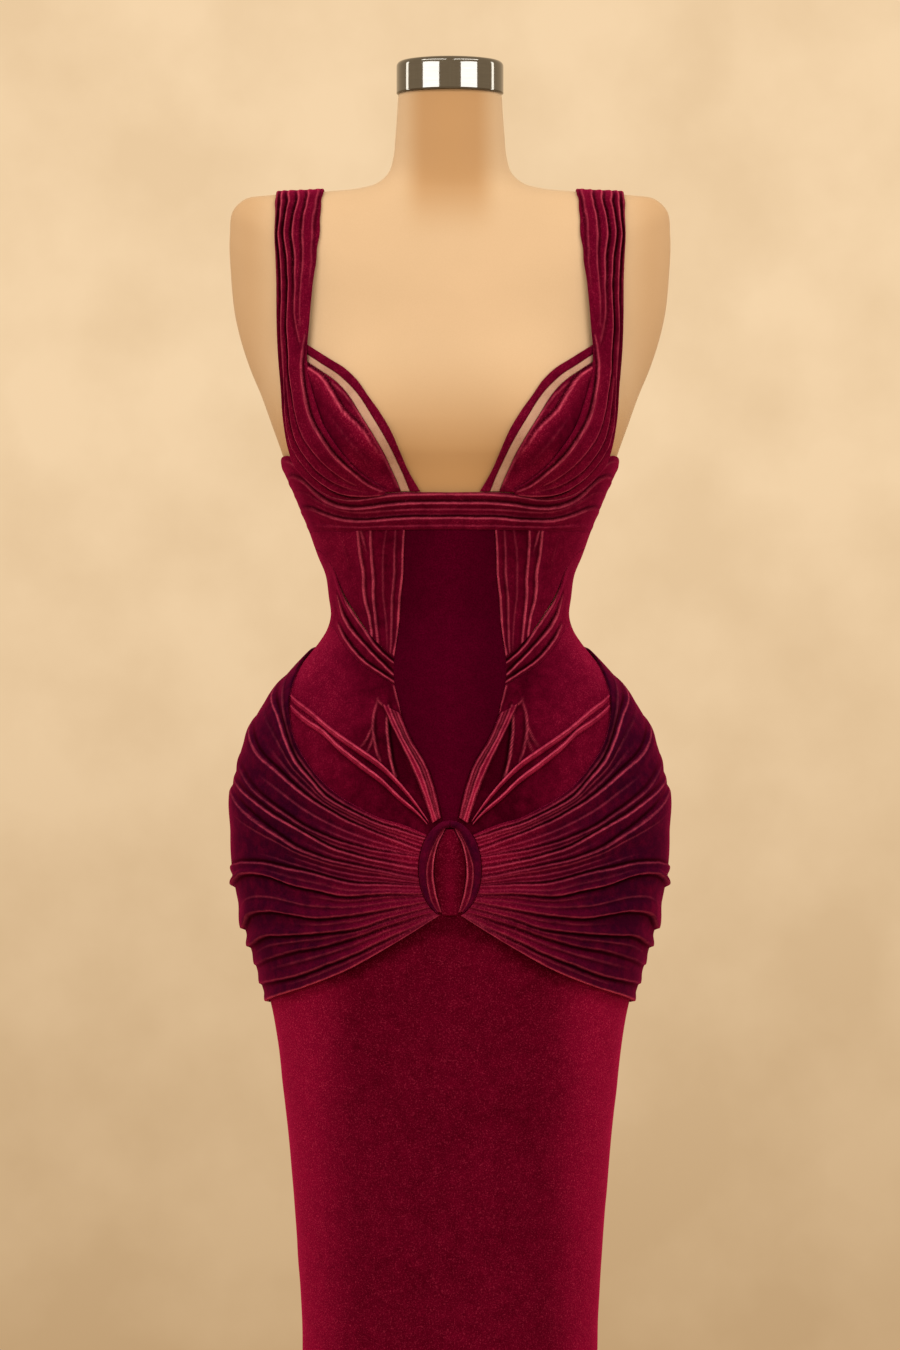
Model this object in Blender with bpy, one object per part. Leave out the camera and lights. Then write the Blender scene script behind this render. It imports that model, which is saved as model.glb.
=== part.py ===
# Evening dress on a limbless dress form with a stand
# Sizes are in millimetres, and the meshes are written in metres
# The front is -Y, the wearer's left is +X and the floor is z = 0
import math

import bpy
import numpy as np

SEAM = 0.3        # gap between two pieces at a seam
EASE = 1.2        # gap between the form and the cloth
CLOTH = 2.0       # velvet wall
OVER = EASE + CLOTH + 0.7   # underside of a piece laid on a panel
HEM = 12.0
HIP_SEAM = 872.0  # seam between the bodice and the skirt, under the sash

# Sections of the figure under the dress, from the hem up
# half width, depth in front, depth behind, then the height at the side, in front and behind
SECTIONS = np.array([
    (165.0, 145.0, 158.0, 12.0, 12.0, 12.0),
    (144.0, 120.0, 128.0, 150.0, 150.0, 150.0),
    (134.0, 107.0, 112.0, 280.0, 280.0, 280.0),
    (132.6, 105.0, 109.0, 404.0, 404.0, 404.0),
    (140.2, 109.0, 112.0, 524.0, 524.0, 524.0),
    (149.3, 113.0, 117.0, 625.0, 625.0, 625.0),
    (163.3, 118.0, 125.0, 727.0, 727.0, 727.0),
    (173.0, 119.5, 129.0, 764.0, 764.0, 764.0),
    (183.0, 121.0, 133.0, 801.0, 801.0, 801.0),
    (189.5, 121.0, 134.5, 829.0, 829.0, 829.0),
    (194.0, 121.0, 136.0, 858.0, 858.0, 858.0),
    (194.5, 119.0, 136.0, 895.0, 895.0, 895.0),
    (191.0, 116.0, 133.0, 931.0, 931.0, 931.0),
    (184.0, 112.0, 128.0, 963.0, 963.0, 963.0),
    (168.0, 107.0, 118.0, 997.0, 997.0, 997.0),
    (140.0, 100.0, 103.0, 1034.0, 1034.0, 1034.0),
    (127.4, 96.0, 96.0, 1049.0, 1049.0, 1049.0),
    (118.6, 93.0, 91.0, 1060.0, 1060.0, 1060.0),
    (111.4, 90.0, 86.0, 1072.0, 1072.0, 1072.0),
    (107.8, 88.0, 83.0, 1085.0, 1085.0, 1085.0),
    (109.6, 89.0, 84.0, 1104.0, 1104.0, 1104.0),
    (113.0, 91.0, 87.0, 1126.0, 1126.0, 1126.0),
    (119.6, 93.0, 90.0, 1142.0, 1142.0, 1142.0),
    (129.0, 97.0, 96.0, 1168.0, 1168.0, 1168.0),
    (136.0, 99.0, 99.0, 1185.0, 1185.0, 1185.0),
    (145.6, 101.0, 103.0, 1208.0, 1208.0, 1208.0),
    (152.0, 102.0, 104.5, 1222.0, 1222.0, 1222.0),
    (158.0, 105.5, 108.5, 1240.0, 1240.0, 1240.0),
    (166.0, 105.0, 109.0, 1262.0, 1262.0, 1262.0),
    (176.0, 103.5, 109.0, 1290.0, 1288.0, 1290.0),
    (186.0, 101.0, 108.5, 1314.0, 1308.0, 1314.0),
    (193.5, 98.0, 107.5, 1336.0, 1326.0, 1336.0),
    (200.0, 94.5, 106.0, 1362.0, 1344.0, 1358.0),
    (204.5, 90.0, 103.0, 1403.0, 1366.0, 1384.0),
    (205.5, 85.0, 99.0, 1440.0, 1388.0, 1408.0),
    (202.0, 79.0, 94.0, 1464.0, 1408.0, 1430.0),
    (192.0, 73.0, 88.0, 1473.5, 1426.0, 1448.0),
    (170.0, 67.0, 81.0, 1477.5, 1443.0, 1462.0),
    (140.0, 61.5, 74.0, 1479.5, 1457.0, 1472.0),
    (110.0, 57.0, 67.0, 1481.5, 1468.0, 1480.0),
    (85.0, 54.0, 61.0, 1484.0, 1476.0, 1486.0),
    (68.0, 51.5, 57.0, 1489.0, 1484.0, 1492.0),
    (58.0, 50.0, 54.5, 1498.0, 1494.0, 1500.0),
    (53.5, 49.0, 53.0, 1512.0, 1508.0, 1512.0),
    (51.5, 48.5, 52.0, 1532.0, 1532.0, 1532.0),
    (50.0, 48.0, 51.0, 1552.0, 1552.0, 1552.0),
    (48.8, 48.0, 50.0, 1571.5, 1571.5, 1571.5),
])
HALF, FRONT, BACK, Z_SIDE, Z_FRONT, Z_BACK = range(6)

# Bust of a general figure
BUST_X = 88.0
BUST_Z = 1252.0
BUST_LIFT = 34.0
BUST_WIDE = 42.0
BUST_ABOVE = 52.0
BUST_BELOW = 34.0

# Edge of the centre front panel: half width, height
CENTRE_EDGE = [
    (41.0, 1164.0), (43.0, 1121.0), (46.0, 1086.0), (51.0, 1047.0), (52.0, 1036.0), (50.5, 1022.0),
    (47.5, 1010.0), (44.0, 994.0), (34.0, 971.0), (21.5, 950.0), (13.5, 928.0), (7.5, 900.0),
    (6.0, HIP_SEAM),
]


def smooth_line(knots, values, at):
    """Smooth curve through the values at the knots, read at the given places."""
    values = np.asarray(values, float)
    step = np.diff(knots)
    slope = np.diff(values, axis=0) / step[:, None]
    turn = np.empty_like(values)
    turn[0] = slope[0]
    turn[-1] = slope[-1]
    near = step[1:, None] * slope[:-1] + step[:-1, None] * slope[1:]
    turn[1:-1] = near / (step[1:] + step[:-1])[:, None]
    at = np.asarray(at, float)
    i = np.clip(np.searchsorted(knots, at, side="right") - 1, 0, len(knots) - 2)
    t = ((at - knots[i]) / step[i])[..., None]
    h = step[i][..., None]
    start = values[i] * (2 * t ** 3 - 3 * t ** 2 + 1) + turn[i] * h * (t ** 3 - 2 * t ** 2 + t)
    end = values[i + 1] * (3 * t ** 2 - 2 * t ** 3) + turn[i + 1] * h * (t ** 3 - t ** 2)
    return start + end


def lengths(points):
    """Length along a row of points up to each of them."""
    return np.concatenate([[0.0], np.cumsum(np.linalg.norm(np.diff(points, axis=0), axis=1))])


RING_LEVEL = lengths(SECTIONS[:, [HALF, Z_SIDE]])
FINE_LEVEL = np.linspace(0.0, RING_LEVEL[-1], 1200)
FINE = smooth_line(RING_LEVEL, SECTIONS, FINE_LEVEL)
WIDEST = int(np.argmax(FINE[:, HALF]))


def figure(angle, level):
    """Point of the figure; the angle is 0 in front, 90 at the wearer's left and 180 behind."""
    ring = smooth_line(RING_LEVEL, SECTIONS, level)
    turn = np.radians(angle)
    sin = np.sin(turn)
    cos = np.cos(turn)
    ahead = cos > 0
    depth = np.where(ahead, ring[..., FRONT], ring[..., BACK])
    middle = np.where(ahead, ring[..., Z_FRONT], ring[..., Z_BACK])
    x = ring[..., HALF] * sin
    z = ring[..., Z_SIDE] * sin ** 2 + middle * cos ** 2
    spread = np.where(z > BUST_Z, BUST_ABOVE, BUST_BELOW)
    height = np.exp(-0.5 * ((z - BUST_Z) / spread) ** 2)
    left = np.exp(-0.5 * ((x - BUST_X) / BUST_WIDE) ** 2)
    right = np.exp(-0.5 * ((x + BUST_X) / BUST_WIDE) ** 2)
    fade = np.clip(cos / 0.35, 0.0, 1.0)
    fade = fade * fade * (3 - 2 * fade)
    y = -depth * cos - BUST_LIFT * height * (left + right) * fade
    return np.stack([x, y, z], axis=-1)


def outward(angle, level):
    """Direction out of the figure."""
    round_it = figure(angle + 0.4, level) - figure(angle - 0.4, level)
    up = figure(angle, level + 0.6) - figure(angle, level - 0.6)
    normal = np.cross(round_it, up)
    return normal / np.linalg.norm(normal, axis=-1, keepdims=True)


def skin(angle, level, out):
    """Point at a distance out of the figure."""
    angle = np.asarray(angle, float)
    level = np.clip(np.asarray(level, float), 0.7, RING_LEVEL[-1] - 0.7)
    return figure(angle, level) + outward(angle, level) * np.asarray(out, float)[..., None]


def level_at(z):
    """Level of the side line at a height."""
    return float(np.interp(z, FINE[:, Z_SIDE], FINE_LEVEL))


def facing(x, z, behind=False):
    """Angle and level of the figure's own point at x and z, in front or behind."""
    half = FINE[:, HALF]
    seen = half > abs(x) * 1.0005 + 0.01
    sin = x / half[seen]
    middle = FINE[seen, Z_BACK if behind else Z_FRONT]
    height = FINE[seen, Z_SIDE] * sin ** 2 + middle * (1 - sin ** 2)
    level = np.interp(z, height, FINE_LEVEL[seen])
    wide = float(np.interp(level, FINE_LEVEL, half))
    angle = math.degrees(math.asin(max(-1.0, min(1.0, x / wide))))
    return (180.0 - angle if behind else angle), level


def spot(x, z, out=EASE + CLOTH, behind=False):
    """Angle and level under a point that is seen at x and z from the front and stands out from the figure."""
    at_x = x
    at_z = z
    for _ in range(5):
        angle, level = facing(at_x, at_z, behind)
        lean = outward(np.array(angle), np.array(level))
        at_x = x - out * lean[0]
        at_z = z - out * lean[2]
    return angle, level


def turn_at(angle, z):
    """Angle and level at an angle and a height, for the level sections."""
    return angle, level_at(z)


def over_shoulder(x, angle):
    """Angle and level on top of the shoulder at a distance x from the middle."""
    wide = x / math.sin(math.radians(angle))
    half = FINE[WIDEST:, HALF][::-1]
    return angle, float(np.interp(wide, half, FINE_LEVEL[WIDEST:][::-1]))


def edge_at(z):
    """Angle and level on the centre front panel's edge at a height."""
    level = level_at(z)
    return np.interp(level, EDGE_FINE[:, 1], EDGE_FINE[:, 0]), level


def path(points, parts):
    """Places along a smooth line through the points, at even steps or at the given fractions."""
    points = np.array(points, float)
    fractions = np.linspace(0.0, 1.0, parts + 1) if isinstance(parts, int) else np.asarray(parts, float)
    knots = lengths(skin(points[:, 0], points[:, 1], EASE))
    fine = smooth_line(knots, points, np.linspace(0.0, knots[-1], 300))
    run = lengths(skin(fine[:, 0], fine[:, 1], EASE))
    want = fractions * run[-1]
    return np.stack([np.interp(want, run, fine[:, 0]), np.interp(want, run, fine[:, 1])], axis=-1)


def loft(first, last, across):
    """Grid between two lines; across holds the fractions, the same for all or a row for each place."""
    across = np.asarray(across, float)
    if across.ndim == 1:
        across = np.tile(across, (len(first), 1))
    return first[:, None, :] * (1 - across[..., None]) + last[:, None, :] * across[..., None]


def fill(left, right, bottom, top, steps):
    """Grid inside four lines; left and right run up, bottom and top run from left to right by the steps."""
    u = steps[:, None, None]
    v = np.linspace(0.0, 1.0, len(left))[None, :, None]
    rise = bottom[:, None, :] * (1 - v) + top[:, None, :] * v
    span = left[None, :, :] * (1 - u) + right[None, :, :] * u
    low = bottom[0] * (1 - u) + bottom[-1] * u
    high = top[0] * (1 - u) + top[-1] * u
    return rise + span - (low * (1 - v) + high * v)


def draw_in(place, first_row=SEAM / 2, last_row=SEAM / 2, first_end=SEAM / 2, last_end=SEAM / 2):
    """Move the four edges of a grid inward, so that neighbours stay apart at the seam."""
    place = place.copy()

    def pull(edge, next_to, amount):
        gap = np.linalg.norm(
            skin(edge[:, 0], edge[:, 1], EASE) - skin(next_to[:, 0], next_to[:, 1], EASE), axis=1)
        return edge + (next_to - edge) * (amount / np.maximum(gap, 2 * amount + 0.01))[:, None]

    place[:, 0] = pull(place[:, 0], place[:, 1], first_row)
    place[:, -1] = pull(place[:, -1], place[:, -2], last_row)
    place[0] = pull(place[0], place[1], first_end)
    place[-1] = pull(place[-1], place[-2], last_end)
    return place


def along(stations, fractions):
    """Values between stations that are evenly spread from the start to the end."""
    knots = np.linspace(0.0, 1.0, len(stations))
    values = np.array(stations, float)[:, None]
    return smooth_line(knots, values, fractions)[:, 0]


def pleat_rows(folds, fractions, soft=(), edge=0.35):
    """Row positions and heights across a pleated piece.

    A fold has its crest's position at each station along the piece and its height. After each crest
    comes a valley, and the folds numbered in soft get a rounded shoulder between the two. The first
    edge stands at the given share of its fold's height.
    """
    crests = np.array([along(fold["at"], fractions) for fold in folds])
    tall = np.array([along(fold["tall"], fractions) for fold in folds])
    nothing = np.zeros_like(fractions)
    rows = [nothing]
    heights = [tall[0] * edge]
    for k in range(len(folds)):
        after = crests[k + 1] if k + 1 < len(folds) else nothing + 1.0
        gap = after - crests[k]
        rows.append(crests[k])
        heights.append(tall[k])
        if k in soft:
            rows.append(crests[k] + gap * 0.38)
            heights.append(tall[k] * 0.7)
        if k + 1 < len(folds):
            rows.append(crests[k] + gap * 0.72)
            heights.append(nothing)
    rows.append(nothing + 1.0)
    heights.append(tall[-1] * 0.35)
    return np.stack(rows, axis=1), np.stack(heights, axis=1)


def make_mesh(name, points, faces):
    """New object from points in millimetres, with its faces turned outward."""
    points = np.asarray(points, float) * 0.001
    corners = points[np.array(faces)]
    volume = np.sum(corners[:, 0] * np.cross(corners[:, 1], corners[:, 2]))
    if volume < 0:
        faces = [face[::-1] for face in faces]
    mesh = bpy.data.meshes.new(name)
    mesh.from_pydata([tuple(p) for p in points], [], faces)
    mesh.update()
    item = bpy.data.objects.new(name, mesh)
    bpy.context.scene.collection.objects.link(item)
    return item


def slab(name, place, low, high):
    """Closed wall over a grid, between two distances out of the figure."""
    n, m = place.shape[:2]
    low = np.broadcast_to(low, (n, m))
    high = np.broadcast_to(high, (n, m))
    inner = skin(place[..., 0], place[..., 1], low).reshape(-1, 3)
    outer = skin(place[..., 0], place[..., 1], high).reshape(-1, 3)
    k = n * m
    faces = []
    for i in range(n - 1):
        for j in range(m - 1):
            a = i * m + j
            b = a + m
            faces += [(a + k, b + k, b + 1 + k), (a + k, b + 1 + k, a + 1 + k)]
            faces += [(b + 1, b, a), (a + 1, b + 1, a)]
    rim = [i * m for i in range(n)]
    rim += [(n - 1) * m + j for j in range(1, m)]
    rim += [i * m + m - 1 for i in range(n - 2, -1, -1)]
    rim += [j for j in range(m - 2, 0, -1)]
    for a, b in zip(rim, rim[1:] + rim[:1]):
        faces += [(b + k, a + k, a), (b + k, a, b)]
    return make_mesh(name, np.concatenate([inner, outer]), faces)


def both(name, place, low, high):
    """A piece on the wearer's left and its mirror image on the right."""
    slab(name + "_left", place, low, high)
    mirrored = place.copy()
    mirrored[..., 0] *= -1
    slab(name + "_right", mirrored, low, high)


def lathe(name, profile, columns):
    """Round solid from a profile of radius and height, from the middle of one end to the other."""
    points = []
    rings = []
    for radius, z in profile:
        if radius == 0:
            rings.append([len(points)] * columns)
            points.append((0.0, 0.0, z))
        else:
            rings.append([len(points) + c for c in range(columns)])
            for c in range(columns):
                turn = 2 * math.pi * c / columns
                points.append((radius * math.cos(turn), radius * math.sin(turn), z))
    faces = []
    for one, two in zip(rings, rings[1:]):
        for c in range(columns):
            d = (c + 1) % columns
            if one[c] != one[d]:
                faces.append((one[c], one[d], two[d]))
            if two[c] != two[d]:
                faces.append((one[c], two[d], two[c]))
    return make_mesh(name, points, faces)


EDGE_FINE = path([spot(x, z) for x, z in CENTRE_EDGE], 240)[::-1]
# Heights of the rows that the centre front shares with its neighbours
TUCK_ROWS = [1164.0, 1140.0, 1116.0, 1092.0, 1068.0, 1047.0]
YOKE_ROWS = [1022.0, 1010.0, 994.0, 980.0, 965.0, 950.0, 930.0, 915.0, 900.0, HIP_SEAM]


def build_form():
    """Torso of the dress form, with its neck cap, pole and base plate."""
    shrink = -0.8
    turns = [0, 12, 24, 36, 47, 58, 69, 80, 90, 104, 120, 140, 160, 180]
    turns = np.array(turns + [-a for a in turns[-2:0:-1]], float)
    # lower end under the skirt: half width, front, back, height
    lower = [(140, 92, 104, 690), (157, 106, 118, 727), (170, 113, 125, 764), (181, 117, 131, 801)]
    rings = []
    for half, ahead, behind, z in lower:
        rad = np.radians(turns)
        depth = np.where(np.cos(rad) > 0, ahead, behind)
        rings.append(np.stack([half * np.sin(rad), -depth * np.cos(rad), np.full_like(rad, z)], axis=-1))
    heights = [850, 895, 931, 963, 990, 1016, 1038, 1056, 1072, 1090, 1114, 1142, 1172, 1200, 1222, 1240]
    levels = [level_at(z) for z in heights]
    levels += [RING_LEVEL[i] for i in (28, 29, 30, 31, 32, 33, 34, 35, 36, 37, 38, 39, 40, 41, 42, 44, 46)]
    for level in levels:
        rings.append(skin(turns, np.full_like(turns, level), np.full_like(turns, shrink)))
    points = np.concatenate(rings)
    n = len(turns)
    faces = []
    for r in range(len(rings) - 1):
        for c in range(n):
            a = r * n + c
            b = r * n + (c + 1) % n
            faces += [(a, b, b + n), (a, b + n, a + n)]
    for r, order in ((0, 1), (len(rings) - 1, -1)):
        hub = len(points)
        middle = rings[r].mean(axis=0)
        points = np.concatenate([points, [middle]])
        for c in range(n):
            face = (hub, r * n + (c + 1) % n, r * n + c)
            faces.append(face[::order])
    make_mesh("form_torso", points, faces)
    lathe("neck_cap", [(0, 1571.1), (49.8, 1571.1), (49.8, 1597), (48.2, 1601), (44, 1603), (0, 1603.6)], 28)
    lathe("stand_pole", [(0, 22.3), (12.5, 22.3), (12.5, 689.7), (0, 689.7)], 16)
    lathe("stand_base", [(0, 0), (126, 0), (130, 3), (130, 8), (122, 12), (26, 17), (24, 22), (0, 22)], 32)


def build_bodice():
    """Centre front, side fronts, waist pleats, hip yokes and back panels."""
    edge = np.array([edge_at(z) for z in TUCK_ROWS + [1036.0] + YOKE_ROWS])
    across = np.linspace(-1.0, 1.0, 7)
    middle = np.zeros((len(edge), len(across), 2))
    middle[..., 0] = edge[:, None, 0] * across
    middle[..., 1] = edge[:, None, 1]
    middle = draw_in(middle, first_row=0.35, last_row=0.35)
    slab("bodice_centre_front", middle, EASE, EASE + CLOTH)

    # upright tucks of the side front: x under the band, x on the waist pleats, height
    tucks = [
        (41.0, 51.0, 1.4), (43.5, 52.3, 2.4), (47.0, 54.0, 0.2), (51.5, 56.0, 1.5), (55.0, 57.5, 0.2),
        (59.0, 59.3, 2.0), (65.0, 62.5, 0.1), (73.0, 66.0, 2.2), (78.0, 69.0, 0.1), (85.0, 72.5, 2.2),
        (91.0, 78.0, 0.0), (103.0, 88.0, 0.0), (112.0, 97.0, 0.0), (119.0, 105.0, 0.0), (124.0, 111.5, 0.0),
        (128.0, 117.0, 0.0),
    ]
    # waist pleats' upper edge and lower edge: x, z
    upper_edge = [(51.0, 1047.0), (67.0, 1061.0), (87.0, 1087.0), (101.0, 1113.0), (115.0, 1141.0)]
    lower_edge = [(50.5, 1022.0), (65.0, 1031.0), (80.0, 1040.0), (96.0, 1057.0), (106.5, 1073.0)]
    upper = [edge_at(1047.0)] + [spot(x, z) for x, z in upper_edge[1:]] + [turn_at(90.0, 1150.0)]
    lower = [edge_at(1022.0)] + [spot(x, z) for x, z in lower_edge[1:]] + [turn_at(90.0, 1079.0)]
    upper_fine = path(upper, 120)
    upper_seen = skin(upper_fine[:, 0], upper_fine[:, 1], EASE + CLOTH)
    down = np.linspace(0.0, 1.0, len(TUCK_ROWS))
    place = []
    for x_top, x_low, _ in tucks:
        z_low = np.interp(x_low, upper_seen[:, 0], upper_seen[:, 2])
        z_low += np.interp(x_low, (51.0, 90.0, 117.0), (0.2, 0.8, 2.2))
        place.append([spot(x_top + (x_low - x_top) * v, 1164.0 + (z_low - 1164.0) * v) for v in down])
        place[-1][0] = (place[-1][0][0], level_at(1164.0))
    place.append([turn_at(90.0, 1164.0 - 13.0 * v) for v in down])
    place = np.array(place)
    place[0] = [edge_at(z) for z in TUCK_ROWS]
    tall = np.array([h for _, _, h in tucks] + [0.0])
    low = EASE + tall[:, None] * np.ones(len(down))
    both("bodice_side_front", draw_in(place), low, low + CLOTH)

    steps = np.array([0.0, 0.12, 0.25, 0.38, 0.50, 0.60, 0.70, 0.79, 0.87, 0.94, 1.0])
    folds = [
        {"at": (0.12, 0.10, 0.06), "tall": (3.2, 3.4, 1.4)},
        {"at": (0.54, 0.55, 0.53), "tall": (3.0, 3.0, 1.4)},
        {"at": (0.86, 0.90, 0.92), "tall": (2.6, 2.6, 1.2)},
    ]
    rows, heights = pleat_rows(folds, steps, soft=(0, 1))
    place = loft(path(upper, steps), path(lower, steps), rows)
    place[0] = [edge_at(1047.0 - 25.0 * v) for v in rows[0]]
    low = EASE + heights
    both("waist_pleats", draw_in(place), low, low + CLOTH)

    down = np.linspace(0.0, 1.0, len(YOKE_ROWS))
    centre = np.array([edge_at(z) for z in YOKE_ROWS])
    seam = path([turn_at(90.0, 1079.0), turn_at(90.0, 975.0), turn_at(90.0, HIP_SEAM)], down)
    top = path(lower, steps)
    hip = path([edge_at(HIP_SEAM), turn_at(45.0, HIP_SEAM), turn_at(90.0, HIP_SEAM)], steps)
    place = fill(centre[::-1], seam[::-1], hip, top, steps)
    both("hip_yoke", draw_in(place), EASE, EASE + CLOTH)

    heights = [HIP_SEAM, 910, 950, 985, 1012, 1036, 1056, 1072, 1088, 1112, 1148, 1190, 1226]
    turns = [90.0, 99.0, 108.0, 118.0, 130.0, 144.0, 161.0, 180.0]
    place = np.array([[turn_at(a, z) for z in heights] for a in turns])
    place[:, -1, 1] += np.linspace(0.0, 4.0, len(turns))
    both("bodice_back", draw_in(place), EASE, EASE + CLOTH)


# Neckline, cup and strap lines: x, z from the front
BINDING_TOP = [
    (27.0, 1197.5), (34.0, 1209.0), (45.0, 1233.0), (54.0, 1254.0), (65.0, 1272.0), (74.5, 1285.0),
    (85.0, 1300.0), (94.0, 1309.0), (112.0, 1321.0), (126.0, 1330.0), (135.0, 1336.0),
]
BINDING_LOW = [
    (36.5, 1197.5), (43.0, 1214.0), (52.0, 1233.0), (61.5, 1251.0), (71.0, 1266.5), (80.0, 1281.0),
    (91.0, 1294.5), (103.0, 1305.5), (118.0, 1315.5), (129.0, 1323.0), (137.0, 1328.0),
]
CUP_TOP = [
    (45.0, 1197.5), (51.0, 1212.0), (59.0, 1229.5), (66.5, 1243.0), (74.0, 1255.5), (81.0, 1266.5),
    (88.5, 1279.0), (96.0, 1289.5), (107.0, 1300.5), (119.0, 1309.0), (131.0, 1317.0), (138.0, 1321.0),
]
STRAP_INNER = [
    (56.5, 1199.5), (71.0, 1208.5), (85.0, 1219.5), (100.0, 1237.0), (112.0, 1255.0), (120.0, 1276.0),
    (126.0, 1296.0), (130.0, 1318.0), (128.5, 1352.0), (125.5, 1385.0), (123.5, 1418.0), (120.5, 1447.0),
]
STRAP_OUTER = [
    (60.0, 1196.0), (78.0, 1193.0), (94.0, 1192.8), (111.0, 1197.3), (120.0, 1203.0), (129.5, 1211.5),
    (143.0, 1228.0), (146.5, 1240.0), (150.5, 1262.0), (155.0, 1313.0), (158.0, 1350.0), (160.0, 1385.0),
    (161.5, 1420.0), (162.0, 1447.0),
]
BAND_TOP = [
    (0.0, 1197.0), (30.0, 1197.0), (60.0, 1195.5), (78.0, 1192.5), (94.0, 1192.3), (111.0, 1196.8),
    (120.0, 1202.5), (129.5, 1211.0), (143.0, 1227.3),
]


def build_top():
    """Underbust band, cups, mesh, neckline binding and straps."""
    steps = np.linspace(0.0, 1.0, 13)
    top = [spot(x, z) for x, z in BAND_TOP] + [turn_at(80.0, 1233.0), turn_at(90.0, 1226.0)]
    low_edge = [turn_at(angle, 1164.0) for angle in (0.0, 30.0, 60.0, 90.0)]
    half_top = path(top, steps)
    half_low = path(low_edge, steps)
    top_line = np.concatenate([half_top[:0:-1] * (-1, 1), half_top])
    low_line = np.concatenate([half_low[:0:-1] * (-1, 1), half_low])
    folds = [
        {"at": (0.10, 0.09, 0.08, 0.09, 0.10), "tall": (1.4, 3.2, 3.4, 3.2, 1.4)},
        {"at": (0.36, 0.33, 0.32, 0.33, 0.36), "tall": (1.2, 2.8, 3.0, 2.8, 1.2)},
        {"at": (0.62, 0.62, 0.61, 0.62, 0.62), "tall": (1.0, 2.4, 2.6, 2.4, 1.0)},
        {"at": (0.88, 0.89, 0.90, 0.89, 0.88), "tall": (0.8, 2.2, 2.6, 2.2, 0.8)},
    ]
    rows, heights = pleat_rows(folds, np.linspace(0.0, 1.0, len(top_line)), edge=0.65)
    low = EASE + heights
    slab("underbust_band", draw_in(loft(top_line, low_line, rows)), low, low + CLOTH)

    steps = np.linspace(0.0, 1.0, 12)
    binding_top = path([spot(x, z) for x, z in BINDING_TOP], steps)
    binding_low = path([spot(x, z) for x, z in BINDING_LOW], steps)
    cup_top = path([spot(x, z) for x, z in CUP_TOP], steps)
    even = np.linspace(0.0, 1.0, 3)
    place = draw_in(loft(binding_top, binding_low, even), first_end=0.5)
    arch = np.array([0.0, 0.8, 0.0])
    both("neckline_binding", place, EASE, EASE + 1.6 + arch)
    both("mesh_strip", draw_in(loft(binding_low, cup_top, even), first_end=0.5), EASE, EASE + 1.0)

    low_points = [(45.0, 1197.5), (60.0, 1196.6), (78.0, 1193.6), (94.0, 1193.4), (111.0, 1198.0)]
    low_points += [(120.0, 1203.8), (129.5, 1212.3), (141.5, 1227.8)]
    cup_low = path([spot(x, z) for x, z in low_points], 8)
    outer = path([spot(x, z) for x, z in ((141.5, 1227.8), (146.0, 1245.0), (150.0, 1275.0), (150.0, 1303.0))],
                 steps)
    shoulder = path([spot(x, z) for x, z in ((138.0, 1321.0), (145.0, 1313.0), (150.0, 1303.0))], 8)
    place = fill(cup_top, outer, cup_low, shoulder, np.linspace(0.0, 1.0, 9))
    both("cup", draw_in(place, last_row=0.0, last_end=0.0, first_row=0.4), EASE, EASE + CLOTH)

    inner = [spot(x, z) for x, z in STRAP_INNER]
    inner += [over_shoulder(117.0, a) for a in (62.0, 76.0, 90.0, 104.0, 118.0)]
    inner += [spot(x, z, behind=True) for x, z in ((113.0, 1420.0), (106.0, 1350.0), (99.0, 1290.0))]
    inner += [turn_at(141.0, 1229.2)]
    outer = [spot(x, z) for x, z in STRAP_OUTER]
    outer += [over_shoulder(161.0, a) for a in (68.0, 79.0, 90.0, 101.0, 112.0)]
    outer += [spot(x, z, behind=True) for x, z in ((156.0, 1420.0), (146.0, 1350.0), (136.0, 1290.0))]
    outer += [turn_at(124.5, 1228.6)]
    steps = np.array([0.0, 0.04, 0.08, 0.12, 0.16, 0.20, 0.25, 0.30, 0.35, 0.40, 0.44, 0.475, 0.505, 0.53,
                      0.555, 0.58, 0.605, 0.63, 0.67, 0.72, 0.78, 0.85, 0.93, 1.0])
    folds = [
        {"at": (0.10, 0.09, 0.09, 0.10, 0.10), "tall": (1.0, 2.4, 2.4, 2.2, 1.6)},
        {"at": (0.29, 0.26, 0.32, 0.30, 0.30), "tall": (0.8, 2.2, 2.4, 2.2, 1.6)},
        {"at": (0.50, 0.48, 0.50, 0.50, 0.50), "tall": (1.0, 2.6, 2.2, 2.2, 1.6)},
        {"at": (0.73, 0.75, 0.69, 0.71, 0.70), "tall": (1.0, 2.6, 2.4, 2.2, 1.6)},
        {"at": (0.92, 0.93, 0.89, 0.90, 0.90), "tall": (0.8, 2.2, 2.4, 2.2, 1.6)},
    ]
    rows, heights = pleat_rows(folds, steps)
    sink = np.clip((steps - 0.30) / 0.10, 0.0, 1.0)
    on_cup = OVER + 1.0
    base = on_cup + (EASE + 0.8 - on_cup) * sink * sink * (3 - 2 * sink)
    low = base[:, None] + heights
    place = loft(path(inner, steps), path(outer, steps), rows)
    both("strap", draw_in(place), low, low + CLOTH)


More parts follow.
